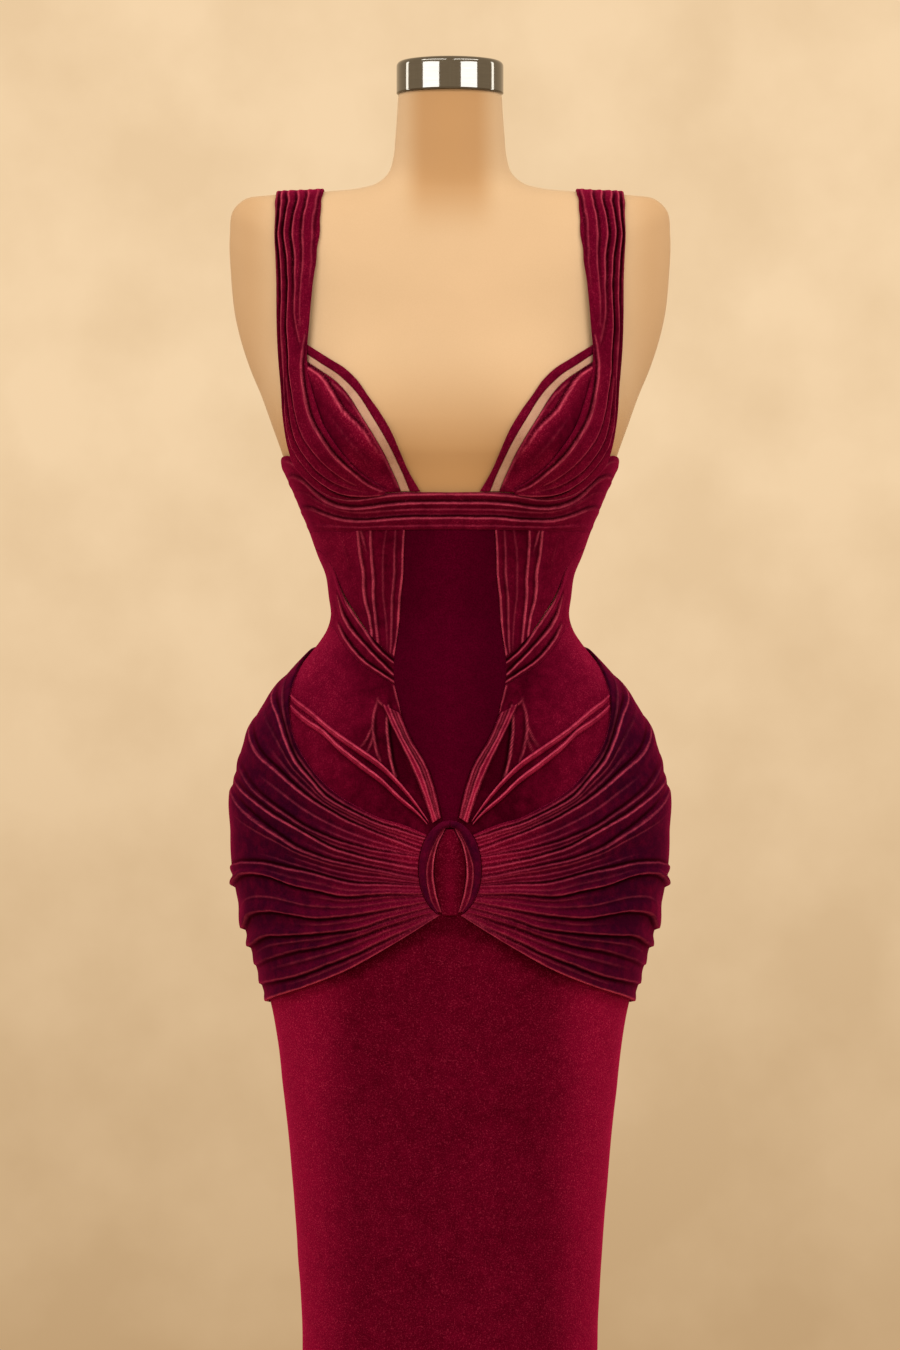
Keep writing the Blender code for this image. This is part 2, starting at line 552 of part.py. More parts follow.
def build_hips():
    """V strips, hip strips, sash, the oval and the skirt."""
    steps = np.linspace(0.0, 1.0, 8)
    inner = path([spot(x, z, OVER) for x, z in ((45.5, 996.0), (35.0, 972.0), (22.5, 951.0), (14.5, 929.0),
                                                (8.3, 901.5))], steps)
    outer = path([spot(x, z, OVER) for x, z in ((62.0, 1005.0), (46.0, 970.0), (32.0, 940.0), (21.0, 911.0),
                                                (16.0, 896.5))], steps)
    folds = [
        {"at": (0.12, 0.12, 0.12), "tall": (2.2, 2.2, 1.6)},
        {"at": (0.50, 0.48, 0.50), "tall": (2.0, 2.2, 1.4)},
        {"at": (0.84, 0.84, 0.86), "tall": (1.8, 2.0, 1.4)},
    ]
    rows, heights = pleat_rows(folds, steps)
    low = OVER + heights
    both("v_strip", draw_in(loft(inner, outer, rows)), low, low + CLOTH)

    # hip strips, upper edges: x, z
    strips = {
        "upper": [(145.5, 1013.0), (127.0, 999.0), (110.0, 984.5), (88.0, 969.0), (64.0, 952.0),
                  (49.0, 937.5), (36.5, 923.0), (23.5, 906.0)],
        "lower": [(145.5, 1003.5), (133.0, 993.0), (115.5, 981.5), (102.5, 969.0), (84.0, 954.0),
                  (64.0, 939.0), (45.0, 921.0), (24.5, 902.8)],
    }
    steps = np.linspace(0.0, 1.0, 11)
    for name, line in strips.items():
        wide = along((7.6, 7.8, 5.0) if name == "upper" else (7.2, 7.6, 4.6), np.linspace(0, 1, len(line)))
        wide[-1] = 2.6
        top = path([spot(x, z, OVER) for x, z in line], steps)
        low = path([spot(x - 0.25 * w, z - w, OVER) for (x, z), w in zip(line, wide)], steps)
        tall = along((0.6, 2.0, 2.2, 1.0), steps)
        rows = np.tile((0.0, 0.32, 1.0), (len(steps), 1))
        heights = tall[:, None] * np.array([0.3, 1.0, 0.1])
        place = draw_in(loft(top, low, rows))
        both("hip_strip_" + name, place, OVER + heights, OVER + heights + CLOTH)

    steps = np.array([0.0, 0.14, 0.29, 0.44, 0.57, 0.68, 0.78, 0.86, 0.93, 1.0])
    top = [(20.9, 886.0), (45.0, 896.0), (63.0, 901.0), (84.0, 911.0), (104.0, 923.0), (121.0, 938.0),
           (132.0, 952.0), (143.0, 971.0), (148.0, 989.0), (149.5, 1010.0)]
    bottom = [(9.9, 812.8), (35.0, 797.0), (63.0, 780.0), (91.0, 764.0), (132.0, 746.0)]
    top = [spot(x, z, OVER + 2) for x, z in top] + [turn_at(78.0, 1034.0), turn_at(90.0, 1048.0)]
    bottom = [spot(x, z, OVER + 2) for x, z in bottom] + [turn_at(76.0, 733.5), turn_at(90.0, 728.5)]
    folds = [
        {"at": (0.085, 0.07, 0.14), "tall": (1.2, 4.0, 4.5)},
        {"at": (0.20, 0.13, 0.24), "tall": (1.2, 3.2, 5.0)},
        {"at": (0.30, 0.21, 0.33), "tall": (1.2, 3.4, 5.0)},
        {"at": (0.42, 0.31, 0.40), "tall": (1.2, 3.8, 5.0)},
        {"at": (0.51, 0.40, 0.50), "tall": (1.2, 4.2, 5.2)},
        {"at": (0.59, 0.49, 0.58), "tall": (1.2, 3.6, 5.2)},
        {"at": (0.67, 0.56, 0.66), "tall": (1.2, 3.6, 3.0)},
        {"at": (0.75, 0.67, 0.76), "tall": (1.2, 4.4, 5.2)},
        {"at": (0.83, 0.76, 0.83), "tall": (1.2, 4.0, 4.4)},
        {"at": (0.90, 0.84, 0.90), "tall": (1.2, 3.8, 4.2)},
        {"at": (0.96, 0.93, 0.965), "tall": (1.0, 3.4, 3.0)},
    ]
    rows, heights = pleat_rows(folds, steps, soft=(0, 4, 7, 8))
    belly = np.sin(np.pi * np.clip(rows, 0.0, 1.0)) ** 0.5
    lift = along((0.3, 1.8, 3.0, 3.6), steps)[:, None]
    low = OVER + heights + lift * belly
    place = loft(path(top, steps), path(bottom, steps), rows)
    around = np.radians(46.2 + 113.8 * rows[0])
    place[0] = [spot(28.6 * math.sin(t), 855.0 + 44.7 * math.cos(t), OVER) for t in around]
    both("sash_front", draw_in(place), low, low + CLOTH)

    steps = np.array([0.0, 0.10, 0.20, 0.31, 0.43, 0.57, 0.71, 0.85, 1.0])
    top = [turn_at(90.0, 1048.0), turn_at(115.0, 1056.0), turn_at(145.0, 1060.0), turn_at(180.0, 1061.0)]
    bottom = [turn_at(90.0, 728.5), turn_at(130.0, 726.0), turn_at(180.0, 725.0)]
    folds = [
        {"at": (0.10, 0.13, 0.15), "tall": (4.0, 3.2, 2.4)},
        {"at": (0.24, 0.28, 0.29), "tall": (5.0, 4.2, 3.2)},
        {"at": (0.38, 0.41, 0.42), "tall": (5.0, 4.2, 3.0)},
        {"at": (0.53, 0.54, 0.56), "tall": (5.2, 4.4, 3.2)},
        {"at": (0.68, 0.67, 0.69), "tall": (4.8, 4.2, 3.0)},
        {"at": (0.82, 0.80, 0.81), "tall": (4.6, 3.8, 2.6)},
        {"at": (0.95, 0.93, 0.93), "tall": (3.2, 3.0, 2.2)},
    ]
    rows, heights = pleat_rows(folds, steps)
    belly = np.sin(np.pi * np.clip(rows, 0.0, 1.0)) ** 0.5
    lift = along((3.6, 3.0, 2.4), steps)[:, None]
    low = OVER + heights + lift * belly
    both("sash_back", draw_in(loft(path(top, steps), path(bottom, steps), rows)), low, low + CLOTH)

    build_oval()

    heights = [HEM, 150, 280, 404, 524, 625, 700, 764, 818, HIP_SEAM]
    turns = [-90.0 + 10.0 * i for i in range(19)]
    place = np.array([[turn_at(a, z) for z in heights] for a in turns])
    slab("skirt_front", draw_in(place, first_row=0.0), EASE, EASE + CLOTH)
    turns = [90.0, 100.0, 110.0, 120.0, 131.0, 143.0, 155.0, 167.0, 180.0]
    place = np.array([[turn_at(a, z) for z in heights] for a in turns])
    both("skirt_back", draw_in(place, first_row=0.0), EASE, EASE + CLOTH)


def build_oval():
    """Padded ring, ridged crescents and the middle piece of the oval."""
    wide = 28.0
    tall = 44.0
    middle_z = 855.0
    turns = np.radians(np.linspace(3.0, 158.0, 9))
    outer = [spot(wide * math.sin(t), middle_z + tall * math.cos(t), OVER) for t in turns]
    inner_line = [(0.8, 893.8), (6.0, 891.5), (12.5, 882.5), (17.5, 871.0), (21.2, 858.0), (21.6, 848.0),
                  (20.0, 836.0), (16.5, 824.0), (11.6, 816.2)]
    crescent_line = [(0.8, 889.0), (5.5, 887.5), (10.8, 880.5), (14.0, 868.0), (14.8, 855.0), (14.0, 843.0),
                     (11.8, 831.0), (9.0, 821.0), (7.2, 815.6)]
    inner = [spot(x, z, OVER) for x, z in inner_line]
    crescent = [spot(x, z, OVER) for x, z in crescent_line]
    steps = np.linspace(0.0, 1.0, 11)
    outer = path(outer, steps)
    inner = path(inner, steps)
    crescent = path(crescent, steps)
    swell = np.sin(np.pi * (0.12 + 0.76 * steps))[:, None]
    place = draw_in(loft(outer, inner, (0.0, 0.25, 0.6, 1.0)))
    both("oval_ring", place, OVER, OVER + 2.4 + swell * np.array([0.0, 4.2, 4.6, 1.0]))
    place = draw_in(loft(inner, crescent, (0.0, 0.22, 0.5, 0.75, 1.0)), last_row=0.3)
    both("oval_crescent", place, OVER, OVER + 2.0 + swell * np.array([1.0, 3.0, 1.4, 3.2, 0.6]))
    rows = np.linspace(-1.0, 1.0, 5)
    side = path([spot(x, z, OVER) for x, z in ((8.8, 884.0), (10.8, 880.0), (14.0, 867.5), (14.7, 855.0),
                                               (13.9, 843.0), (11.7, 831.0), (8.9, 821.0), (6.9, 813.0))], 9)
    place = np.zeros((len(side), len(rows), 2))
    place[..., 0] = side[:, None, 0] * rows
    place[..., 1] = side[:, None, 1]
    dome = 1.2 * (1 - rows ** 2)
    slab("oval_middle", draw_in(place, first_row=0.4, last_row=0.4), OVER + dome, OVER + dome + CLOTH)


def clear_scene():
    """Take away whatever is there."""
    for item in list(bpy.data.objects):
        bpy.data.objects.remove(item, do_unlink=True)


clear_scene()
build_form()
build_bodice()
build_top()
build_hips()
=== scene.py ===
# Evening dress on a limbless dress form: fine cloth with its folds, materials, light and camera
# Sizes are in millimetres up to the meshes, which are in metres
# The front is -Y, the wearer's left is +X and the floor is z = 0
import math

import bpy
import numpy as np
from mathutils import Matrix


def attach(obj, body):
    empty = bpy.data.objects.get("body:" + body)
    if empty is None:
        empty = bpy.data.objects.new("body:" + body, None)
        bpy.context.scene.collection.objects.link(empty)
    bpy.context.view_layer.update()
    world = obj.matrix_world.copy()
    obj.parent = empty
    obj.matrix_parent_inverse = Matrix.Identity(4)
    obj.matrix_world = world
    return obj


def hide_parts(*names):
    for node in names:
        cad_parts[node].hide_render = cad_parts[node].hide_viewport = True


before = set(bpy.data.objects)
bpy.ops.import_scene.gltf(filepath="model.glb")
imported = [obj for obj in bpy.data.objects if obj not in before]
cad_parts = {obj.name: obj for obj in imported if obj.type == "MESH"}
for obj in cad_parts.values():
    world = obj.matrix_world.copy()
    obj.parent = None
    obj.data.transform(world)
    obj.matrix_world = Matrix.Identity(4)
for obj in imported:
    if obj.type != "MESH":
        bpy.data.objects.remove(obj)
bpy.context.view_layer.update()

SEAM = 0.3        # gap between two pieces at a seam
EASE = 1.2        # gap between the form and the cloth
CLOTH = 2.0       # velvet wall
FACE = EASE + CLOTH   # outer face of a panel
OVER = FACE + 0.7     # underside of a piece laid on a panel
ON_FOLD = OVER + 3.0  # height at which a fold on such a piece is seen
ON_YOKE = EASE + 3.0
HEM = 12.0
HIP_SEAM = 872.0  # seam between the bodice and the skirt, under the sash
ROUND = 0.9       # radius of a cloth edge
SIDE = 90.0       # angle of the side seam

# Widths of the painted crest highlight and crease shade, and waves of the folds
CREST_WIDE = 0.7
CREASE_WIDE = 1.7
CREASE_OFF = 0.9
SHORT_SWAY = 0.22, 9.0
LONG_SWAY = 0.3, 31.0
DRAPE_WAVE = 47.0

# Sections of the figure under the dress, from the hem up
# half width, depth in front and behind, then one height, or the heights at the side, in front and behind
SECTION_ROWS = [
    (165, 145, 158, 12), (144, 120, 128, 150), (134, 107, 112, 280), (132.6, 105, 109, 404),
    (140.2, 109, 112, 524), (149.3, 113, 117, 625), (163.3, 118, 125, 727), (173, 119.5, 129, 764),
    (183, 121, 133, 801), (189.5, 121, 134.5, 829), (194, 121, 136, 858), (194.5, 119, 136, 895),
    (191, 116, 133, 931), (184, 112, 128, 963), (168, 107, 118, 997), (140, 100, 103, 1034),
    (127.4, 96, 96, 1049), (118.6, 93, 91, 1060), (111.4, 90, 86, 1072), (107.8, 88, 83, 1085),
    (109.6, 89, 84, 1104), (113, 91, 87, 1126), (119.6, 93, 90, 1142), (129, 97, 96, 1168),
    (136, 99, 99, 1185), (145.6, 101, 103, 1208), (152, 102, 104.5, 1222), (158, 105.5, 108.5, 1240),
    (166, 105, 109, 1262), (176, 103.5, 109, 1290, 1288, 1290), (186, 101, 108.5, 1314, 1308, 1314),
    (193.5, 98, 107.5, 1336, 1326, 1336), (200, 94.5, 106, 1362, 1344, 1358),
    (204.5, 90, 103, 1403, 1366, 1384), (205.5, 85, 99, 1440, 1388, 1408), (202, 79, 94, 1464, 1408, 1430),
    (192, 73, 88, 1473.5, 1426, 1448), (170, 67, 81, 1477.5, 1443, 1462),
    (140, 61.5, 74, 1479.5, 1457, 1472), (110, 57, 67, 1481.5, 1468, 1480), (85, 54, 61, 1484, 1476, 1486),
    (68, 51.5, 57, 1489, 1484, 1492), (58, 50, 54.5, 1498, 1494, 1500), (53.5, 49, 53, 1512, 1508, 1512),
    (51.5, 48.5, 52, 1532), (50, 48, 51, 1552), (48.8, 48, 50, 1571.5),
]
SECTIONS = np.array([(*row[:3], *row[3:] * 3)[:6] for row in SECTION_ROWS], float)
HALF, FRONT, BACK, Z_SIDE, Z_FRONT, Z_BACK = range(6)

# Bust of a general figure
BUST_X = 88.0
BUST_Z = 1252.0
BUST_LIFT = 34.0
BUST_WIDE = 42.0
BUST_ABOVE = 52.0
BUST_BELOW = 34.0

# Edge of the centre front panel: half width, height
CENTRE_EDGE = [
    (41, 1164), (43, 1121), (46, 1086), (51, 1047), (52, 1036), (50.5, 1022), (47.5, 1010), (44, 994),
    (34, 971), (21.5, 950), (13.5, 928), (7.5, 900), (6, HIP_SEAM),
]


# Figure, places on it and lines over it
def smooth_line(knots, values, at):
    """Smooth curve through the values at the knots, read at the given places."""
    values = np.asarray(values, float)
    step = np.diff(knots)
    slope = np.diff(values, axis=0) / step[:, None]
    turn = np.empty_like(values)
    turn[0] = slope[0]
    turn[-1] = slope[-1]
    near = step[1:, None] * slope[:-1] + step[:-1, None] * slope[1:]
    turn[1:-1] = near / (step[1:] + step[:-1])[:, None]
    at = np.asarray(at, float)
    i = np.clip(np.searchsorted(knots, at, side="right") - 1, 0, len(knots) - 2)
    t = ((at - knots[i]) / step[i])[..., None]
    h = step[i][..., None]
    start = values[i] * (2 * t ** 3 - 3 * t ** 2 + 1) + turn[i] * h * (t ** 3 - 2 * t ** 2 + t)
    end = values[i + 1] * (3 * t ** 2 - 2 * t ** 3) + turn[i + 1] * h * (t ** 3 - t ** 2)
    return start + end


def lengths(points):
    """Length along a row of points up to each of them."""
    return np.concatenate([[0.0], np.cumsum(np.linalg.norm(np.diff(points, axis=0), axis=1))])


def ease(t):
    """Smooth step from 0 to 1."""
    t = np.clip(t, 0.0, 1.0)
    return t * t * (3 - 2 * t)


RING_LEVEL = lengths(SECTIONS[:, [HALF, Z_SIDE]])
FINE_LEVEL = np.linspace(0.0, RING_LEVEL[-1], 1200)
FINE = smooth_line(RING_LEVEL, SECTIONS, FINE_LEVEL)
WIDEST = int(np.argmax(FINE[:, HALF]))


def figure(angle, level):
    """Point of the figure; the angle is 0 in front, 90 at the wearer's left and 180 behind."""
    ring = smooth_line(RING_LEVEL, SECTIONS, level)
    turn = np.radians(angle)
    sin = np.sin(turn)
    cos = np.cos(turn)
    ahead = cos > 0
    depth = np.where(ahead, ring[..., FRONT], ring[..., BACK])
    middle = np.where(ahead, ring[..., Z_FRONT], ring[..., Z_BACK])
    x = ring[..., HALF] * sin
    z = ring[..., Z_SIDE] * sin ** 2 + middle * cos ** 2
    spread = np.where(z > BUST_Z, BUST_ABOVE, BUST_BELOW)
    height = np.exp(-0.5 * ((z - BUST_Z) / spread) ** 2)
    left = np.exp(-0.5 * ((x - BUST_X) / BUST_WIDE) ** 2)
    right = np.exp(-0.5 * ((x + BUST_X) / BUST_WIDE) ** 2)
    y = -depth * cos - BUST_LIFT * height * (left + right) * ease(cos / 0.35)
    return np.stack([x, y, z], axis=-1)


def outward(angle, level):
    """Direction out of the figure."""
    round_it = figure(angle + 0.4, level) - figure(angle - 0.4, level)
    up = figure(angle, level + 0.6) - figure(angle, level - 0.6)
    normal = np.cross(round_it, up)
    return normal / np.linalg.norm(normal, axis=-1, keepdims=True)


def skin(angle, level, out):
    """Point at a distance out of the figure."""
    angle = np.asarray(angle, float)
    level = np.clip(np.asarray(level, float), 0.7, RING_LEVEL[-1] - 0.7)
    return figure(angle, level) + outward(angle, level) * np.asarray(out, float)[..., None]


def level_at(z):
    """Level of the side line at a height."""
    return float(np.interp(z, FINE[:, Z_SIDE], FINE_LEVEL))


def facing(x, z, behind=False):
    """Angle and level of the figure's own point at x and z, in front or behind."""
    half = FINE[:, HALF]
    seen = half > abs(x) * 1.0005 + 0.01
    sin = x / half[seen]
    middle = FINE[seen, Z_BACK if behind else Z_FRONT]
    height = FINE[seen, Z_SIDE] * sin ** 2 + middle * (1 - sin ** 2)
    level = np.interp(z, height, FINE_LEVEL[seen])
    wide = float(np.interp(level, FINE_LEVEL, half))
    angle = math.degrees(math.asin(max(-1.0, min(1.0, x / wide))))
    return (180.0 - angle if behind else angle), level


def spot(x, z, out=FACE, behind=False):
    """Angle and level under a point that is seen at x and z from the front and stands out from the figure."""
    at_x = x
    at_z = z
    for _ in range(5):
        angle, level = facing(at_x, at_z, behind)
        lean = outward(np.array(angle), np.array(level))
        at_x = x - out * lean[0]
        at_z = z - out * lean[2]
    return angle, level


def turn_at(angle, z):
    """Angle and level at an angle and a height, for the level sections."""
    return angle, level_at(z)


def over_shoulder(x, angle):
    """Angle and level on top of the shoulder at a distance x from the middle."""
    wide = x / math.sin(math.radians(angle))
    half = FINE[WIDEST:, HALF][::-1]
    return angle, float(np.interp(wide, half, FINE_LEVEL[WIDEST:][::-1]))


def path(points, parts):
    """Places along a smooth line through the points, at even steps or at the given fractions."""
    points = np.array(points, float)
    fractions = np.linspace(0.0, 1.0, parts + 1) if isinstance(parts, int) else np.asarray(parts, float)
    knots = lengths(skin(points[:, 0], points[:, 1], EASE))
    fine = smooth_line(knots, points, np.linspace(0.0, knots[-1], 300))
    run = lengths(skin(fine[:, 0], fine[:, 1], EASE))
    want = fractions * run[-1]
    return np.stack([np.interp(want, run, fine[:, 0]), np.interp(want, run, fine[:, 1])], axis=-1)


def seen(points, out=ON_FOLD, parts=60):
    """Smooth line of places under points that are seen at x and z from the front."""
    return path([spot(x, z, out) for x, z in points], parts)


EDGE_FINE = seen(CENTRE_EDGE, FACE, 240)[::-1]


def edge_at(z):
    """Angle and level on the centre front panel's edge at a height."""
    level = level_at(z)
    return np.interp(level, EDGE_FINE[:, 1], EDGE_FINE[:, 0]), level


def grid(angles, levels):
    """Grid of places from angles and levels."""
    return np.stack(np.broadcast_arrays(angles, levels), axis=-1)


def loft(first, last, across):
    """Grid between two lines; across holds the fractions, the same for all or a row for each place."""
    across = np.asarray(across, float)
    if across.ndim == 1:
        across = np.tile(across, (len(first), 1))
    return first[:, None, :] * (1 - across[..., None]) + last[:, None, :] * across[..., None]


def fill(left, right, bottom, top, steps):
    """Grid inside four lines; left and right run up, bottom and top run from left to right by the steps."""
    u = steps[:, None, None]
    v = np.linspace(0.0, 1.0, len(left))[None, :, None]
    rise = bottom[:, None, :] * (1 - v) + top[:, None, :] * v
    span = left[None, :, :] * (1 - u) + right[None, :, :] * u
    low = bottom[0] * (1 - u) + bottom[-1] * u
    high = top[0] * (1 - u) + top[-1] * u
    return rise + span - (low * (1 - v) + high * v)


def draw_in(place, first_row=SEAM / 2, last_row=SEAM / 2, first_end=SEAM / 2, last_end=SEAM / 2):
    """Move the four edges of a grid inward, so that neighbours stay apart at the seam."""
    place = place.copy()

    def pull(edge, next_to, amount):
        gap = np.linalg.norm(
            skin(edge[:, 0], edge[:, 1], EASE) - skin(next_to[:, 0], next_to[:, 1], EASE),
            axis=1,
        )
        return edge + (next_to - edge) * np.minimum(amount / np.maximum(gap, 0.01), 0.5)[:, None]

    place[:, 0] = pull(place[:, 0], place[:, 1], first_row)
    place[:, -1] = pull(place[:, -1], place[:, -2], last_row)
    place[0] = pull(place[0], place[1], first_end)
    place[-1] = pull(place[-1], place[-2], last_end)
    return place


def along(stations, fractions):
    """Values between stations that are evenly spread from the start to the end."""
    if np.isscalar(stations):
        return np.full(np.shape(fractions), float(stations))
    knots = np.linspace(0.0, 1.0, len(stations))
    values = np.array(stations, float)[:, None]
    return smooth_line(knots, values, fractions)[..., 0]


def spread(count, length):
    """Even fractions with closer ones in the rounding of the edges."""
    near = np.array([0.0, 0.12, 0.45, 1.0]) * ROUND / length
    far = 1.0 - near[::-1]
    return np.concatenate([near[:-1], np.linspace(near[-1], far[0], count), far[1:]])


def closer(steps, part, share):
    """The same number of fractions with a share of them in the first part."""
    return np.interp(steps, (0.0, share, 1.0), (0.0, part, 1.0))


def weave(lines, counts, length):
    """Grid whose rows follow several lines; the rows are closer beside each line."""
    columns = []
    for k, count in enumerate(counts):
        even = np.linspace(0.0, 1.0, count + 1)
        t = 0.55 * even + 0.45 * (0.5 - 0.5 * np.cos(np.pi * even))
        if k == 0:
            near = np.array([0.12, 0.45]) * ROUND / length
            t = np.concatenate([[0.0], near, t[1:]])
        if k == len(counts) - 1:
            near = 1.0 - np.array([0.45, 0.12]) * ROUND / length
            t = np.concatenate([t[:-1], near, [1.0]])
        part = loft(lines[k], lines[k + 1], t)
        columns.append(part if k == 0 else part[:, 1:])
    return np.concatenate(columns, axis=1)


# Folds
def fold(line, tall, soft, steep=2.0, side=1, crest_highlight=1.0, crease_shade=1.0):
    """A fold along a line of places.

    The steep side is to the left of the line as seen from outside, or to its right with side -1.
    tall, soft and steep are the height, the gentle side's width and the steep side's width; the last two set
    how strong the painted highlight on the crest and the painted shade in the crease are.
    """
    return {"line": line, "tall": tall, "soft": soft, "steep": steep, "side": side, "crest_highlight": crest_highlight,
            "crease_shade": crease_shade}


def folds_from(rows, out=ON_FOLD):
    """Folds from rows that hold points seen from the front and then what a fold takes after its line."""
    return [fold(seen(points, out), *rest) for points, *rest in rows]


def uneven(points, wave, phase=0.0):
    """Gentle unevenness between -1 and 1."""
    x, y, z = np.moveaxis(points, -1, 0)
    one = np.sin(2 * np.pi * (x * 0.9 + z * 0.35) / wave + 1.3 + phase)
    two = np.sin(2 * np.pi * (z * 0.8 - y * 0.55) / (wave * 1.37) + 0.4 + 2.1 * phase)
    three = np.sin(2 * np.pi * (x * 0.5 - z * 0.75 + y * 0.4) / (wave * 0.71) + 2.6 + 0.7 * phase)
    return (one + two + 0.6 * three) / 2.6


def raise_folds(place, out, folds):
    """Height of the folds over a grid, with the painted highlight on each crest and the painted shade in each
    crease.
    """
    shape = place.shape[:2]
    points = skin(place[..., 0], place[..., 1], out).reshape(-1, 3)
    lean = outward(place[..., 0], place[..., 1]).reshape(-1, 3)
    out_flat = np.broadcast_to(out, shape)
    total = np.zeros(len(points))
    crest_highlight = np.zeros(len(points))
    crease_shade = np.zeros(len(points))
    sway = SHORT_SWAY[0] * uneven(points, SHORT_SWAY[1]) + LONG_SWAY[0] * uneven(points, LONG_SWAY[1], 1.0)
    for item in folds:
        line = skin(item["line"][:, 0], item["line"][:, 1], float(out_flat.mean()))
        reach = float(np.max(item["soft"])) + 6.0
        near = np.all((points > line.min(axis=0) - reach) & (points < line.max(axis=0) + reach), axis=1)
        if not near.any():
            continue
        spots = points[near]
        way = np.diff(line, axis=0)
        size = np.linalg.norm(way, axis=1)
        run = lengths(line)
        apart = spots[:, None, :] - line[None, :-1, :]
        t = np.clip(np.sum(apart * way, axis=2) / np.maximum(size ** 2, 1e-9), 0.0, 1.0)
        gap = apart - t[..., None] * way
        far = np.linalg.norm(gap, axis=2)
        k = np.argmin(far, axis=1)
        i = np.arange(len(spots))
        share = (run[k] + t[i, k] * size[k]) / run[-1]
        flat = gap[i, k] - np.sum(gap[i, k] * lean[near], axis=1)[:, None] * lean[near]
        turn = np.sum(np.cross(way[k], flat) * lean[near], axis=1)
        d = np.linalg.norm(flat, axis=1) * np.where(turn >= 0, 1.0, -1.0) * item["side"] + sway[near]
        tall = np.maximum(along(item["tall"], share), 0.0)
        soft = along(item["soft"], share)
        steep = along(item["steep"], share)
        rise = np.where(d > 0, 1.0 - ease(d / steep), 0.5 + 0.5 * np.cos(np.pi * np.clip(-d / soft, 0, 1)))
        total[near] += (tall * rise) ** 4
        strength = np.clip(tall / 2.0, 0.0, 1.0)
        line_on = np.exp(-((d - 0.25 * steep) / CREST_WIDE) ** 2)
        foot = np.exp(-((d - steep - CREASE_OFF) / CREASE_WIDE) ** 2)
        crest_highlight[near] = np.maximum(crest_highlight[near], line_on * strength * along(item["crest_highlight"], share))
        crease_shade[near] = np.maximum(crease_shade[near], foot * strength * along(item["crease_shade"], share))
    return total.reshape(shape) ** 0.25, crest_highlight.reshape(shape), crease_shade.reshape(shape)


def beside(points, line, wide):
    """How near points are to a line of x and z, from 0 to 1 on it."""
    spots = points[..., (0, 2)].reshape(-1, 2)
    line = np.array(line, float)
    way = np.diff(line, axis=0)
    apart = spots[:, None, :] - line[None, :-1, :]
    t = np.clip(np.sum(apart * way, axis=2) / np.sum(way * way, axis=1), 0.0, 1.0)
    far = np.linalg.norm(apart - t[..., None] * way, axis=2).min(axis=1)
    return np.exp(-(far / wide) ** 2).reshape(points.shape[:-1])


# Meshes
def put_mesh(name, points, faces, material, node, extra=None):
    """New object on the frame from points in millimetres, with smooth shading."""
    mesh = bpy.data.meshes.new(name)
    mesh.from_pydata((points * 0.001).tolist(), [], faces)
    for key, values in (extra or {}).items():
        layer = mesh.attributes.new(key, "FLOAT", "POINT")
        layer.data.foreach_set("value", np.asarray(values, np.float32))
    mesh.polygons.foreach_set("use_smooth", np.ones(len(mesh.polygons), bool))
    mesh.update()
    item = bpy.data.objects.new(name, mesh)
    bpy.context.scene.collection.objects.link(item)
    mesh.materials.append(material)
    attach(item, "root")
    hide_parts(node)
    return item


def put_closed(name, points, faces, material, node, extra):
    """The same from an array of four-sided faces, turned over where they face inward."""
    a, b, c, d = np.moveaxis(points[faces], 1, 0)
    if np.sum(a * np.cross(b, c)) + np.sum(a * np.cross(c, d)) < 0:
        faces = faces[:, ::-1]
    return put_mesh(name, points, faces.tolist(), material, node, extra)


def edge_far(points):
    """Distance of each grid point from the grid's nearest edge."""
    across = np.linalg.norm(np.diff(points, axis=1), axis=2)
    down = np.linalg.norm(np.diff(points, axis=0), axis=2)
    n, m = points.shape[:2]
    from_start = np.concatenate([np.zeros((n, 1)), np.cumsum(across, axis=1)], axis=1)
    from_top = np.concatenate([np.zeros((1, m)), np.cumsum(down, axis=0)], axis=0)
    near = np.minimum(from_start, from_start[:, -1:] - from_start)
    return np.minimum(near, np.minimum(from_top, from_top[-1:] - from_top))


def edge_drop(points):
    """How far the edges of a grid of points round down."""
    t = np.clip(1.0 - edge_far(points) / ROUND, 0.0, 1.0)
    return ROUND * (1.0 - np.sqrt(1.0 - t * t))


def ring_faces(count, columns):
    """Faces between rings of points that follow each other."""
    c = np.arange(columns)
    d = np.roll(c, -1)
    low = columns * np.arange(count - 1)[:, None]
    high = low + columns
    return np.stack([low + c, low + d, high + d, high + c], axis=-1).reshape(-1, 4)


def shell_faces(n, m):
    """Faces of a closed wall over a grid."""
    a = (np.arange(n - 1)[:, None] * m + np.arange(m - 1)[None, :]).ravel()
    k = n * m
    outer = np.stack([a + k, a + m + k, a + m + 1 + k, a + 1 + k], axis=1)
    inner = np.stack([a + 1, a + m + 1, a + m, a], axis=1)
    rim = [i * m for i in range(n)]
    rim += [(n - 1) * m + j for j in range(1, m)]
    rim += [i * m + m - 1 for i in range(n - 2, -1, -1)]
    rim += [j for j in range(m - 2, 0, -1)]
    rim = np.array(rim)
    after = np.roll(rim, -1)
    walls = np.stack([after + k, rim + k, rim, after], axis=1)
    return np.concatenate([outer, inner, walls])


def cut_size(points):
    """Width, length and area of a grid of points laid flat, in metres."""
    across = np.linalg.norm(np.diff(points, axis=1), axis=2).sum(axis=1)
    down = np.linalg.norm(np.diff(points, axis=0), axis=2).sum(axis=0)
    one = np.cross(points[1:, :-1] - points[:-1, :-1], points[:-1, 1:] - points[:-1, :-1])
    two = np.cross(points[1:, 1:] - points[1:, :-1], points[1:, 1:] - points[:-1, 1:])
    area = 0.5 * (np.linalg.norm(one, axis=2).sum() + np.linalg.norm(two, axis=2).sum())
    return across.max() * 1e-3, down.max() * 1e-3, area * 1e-6


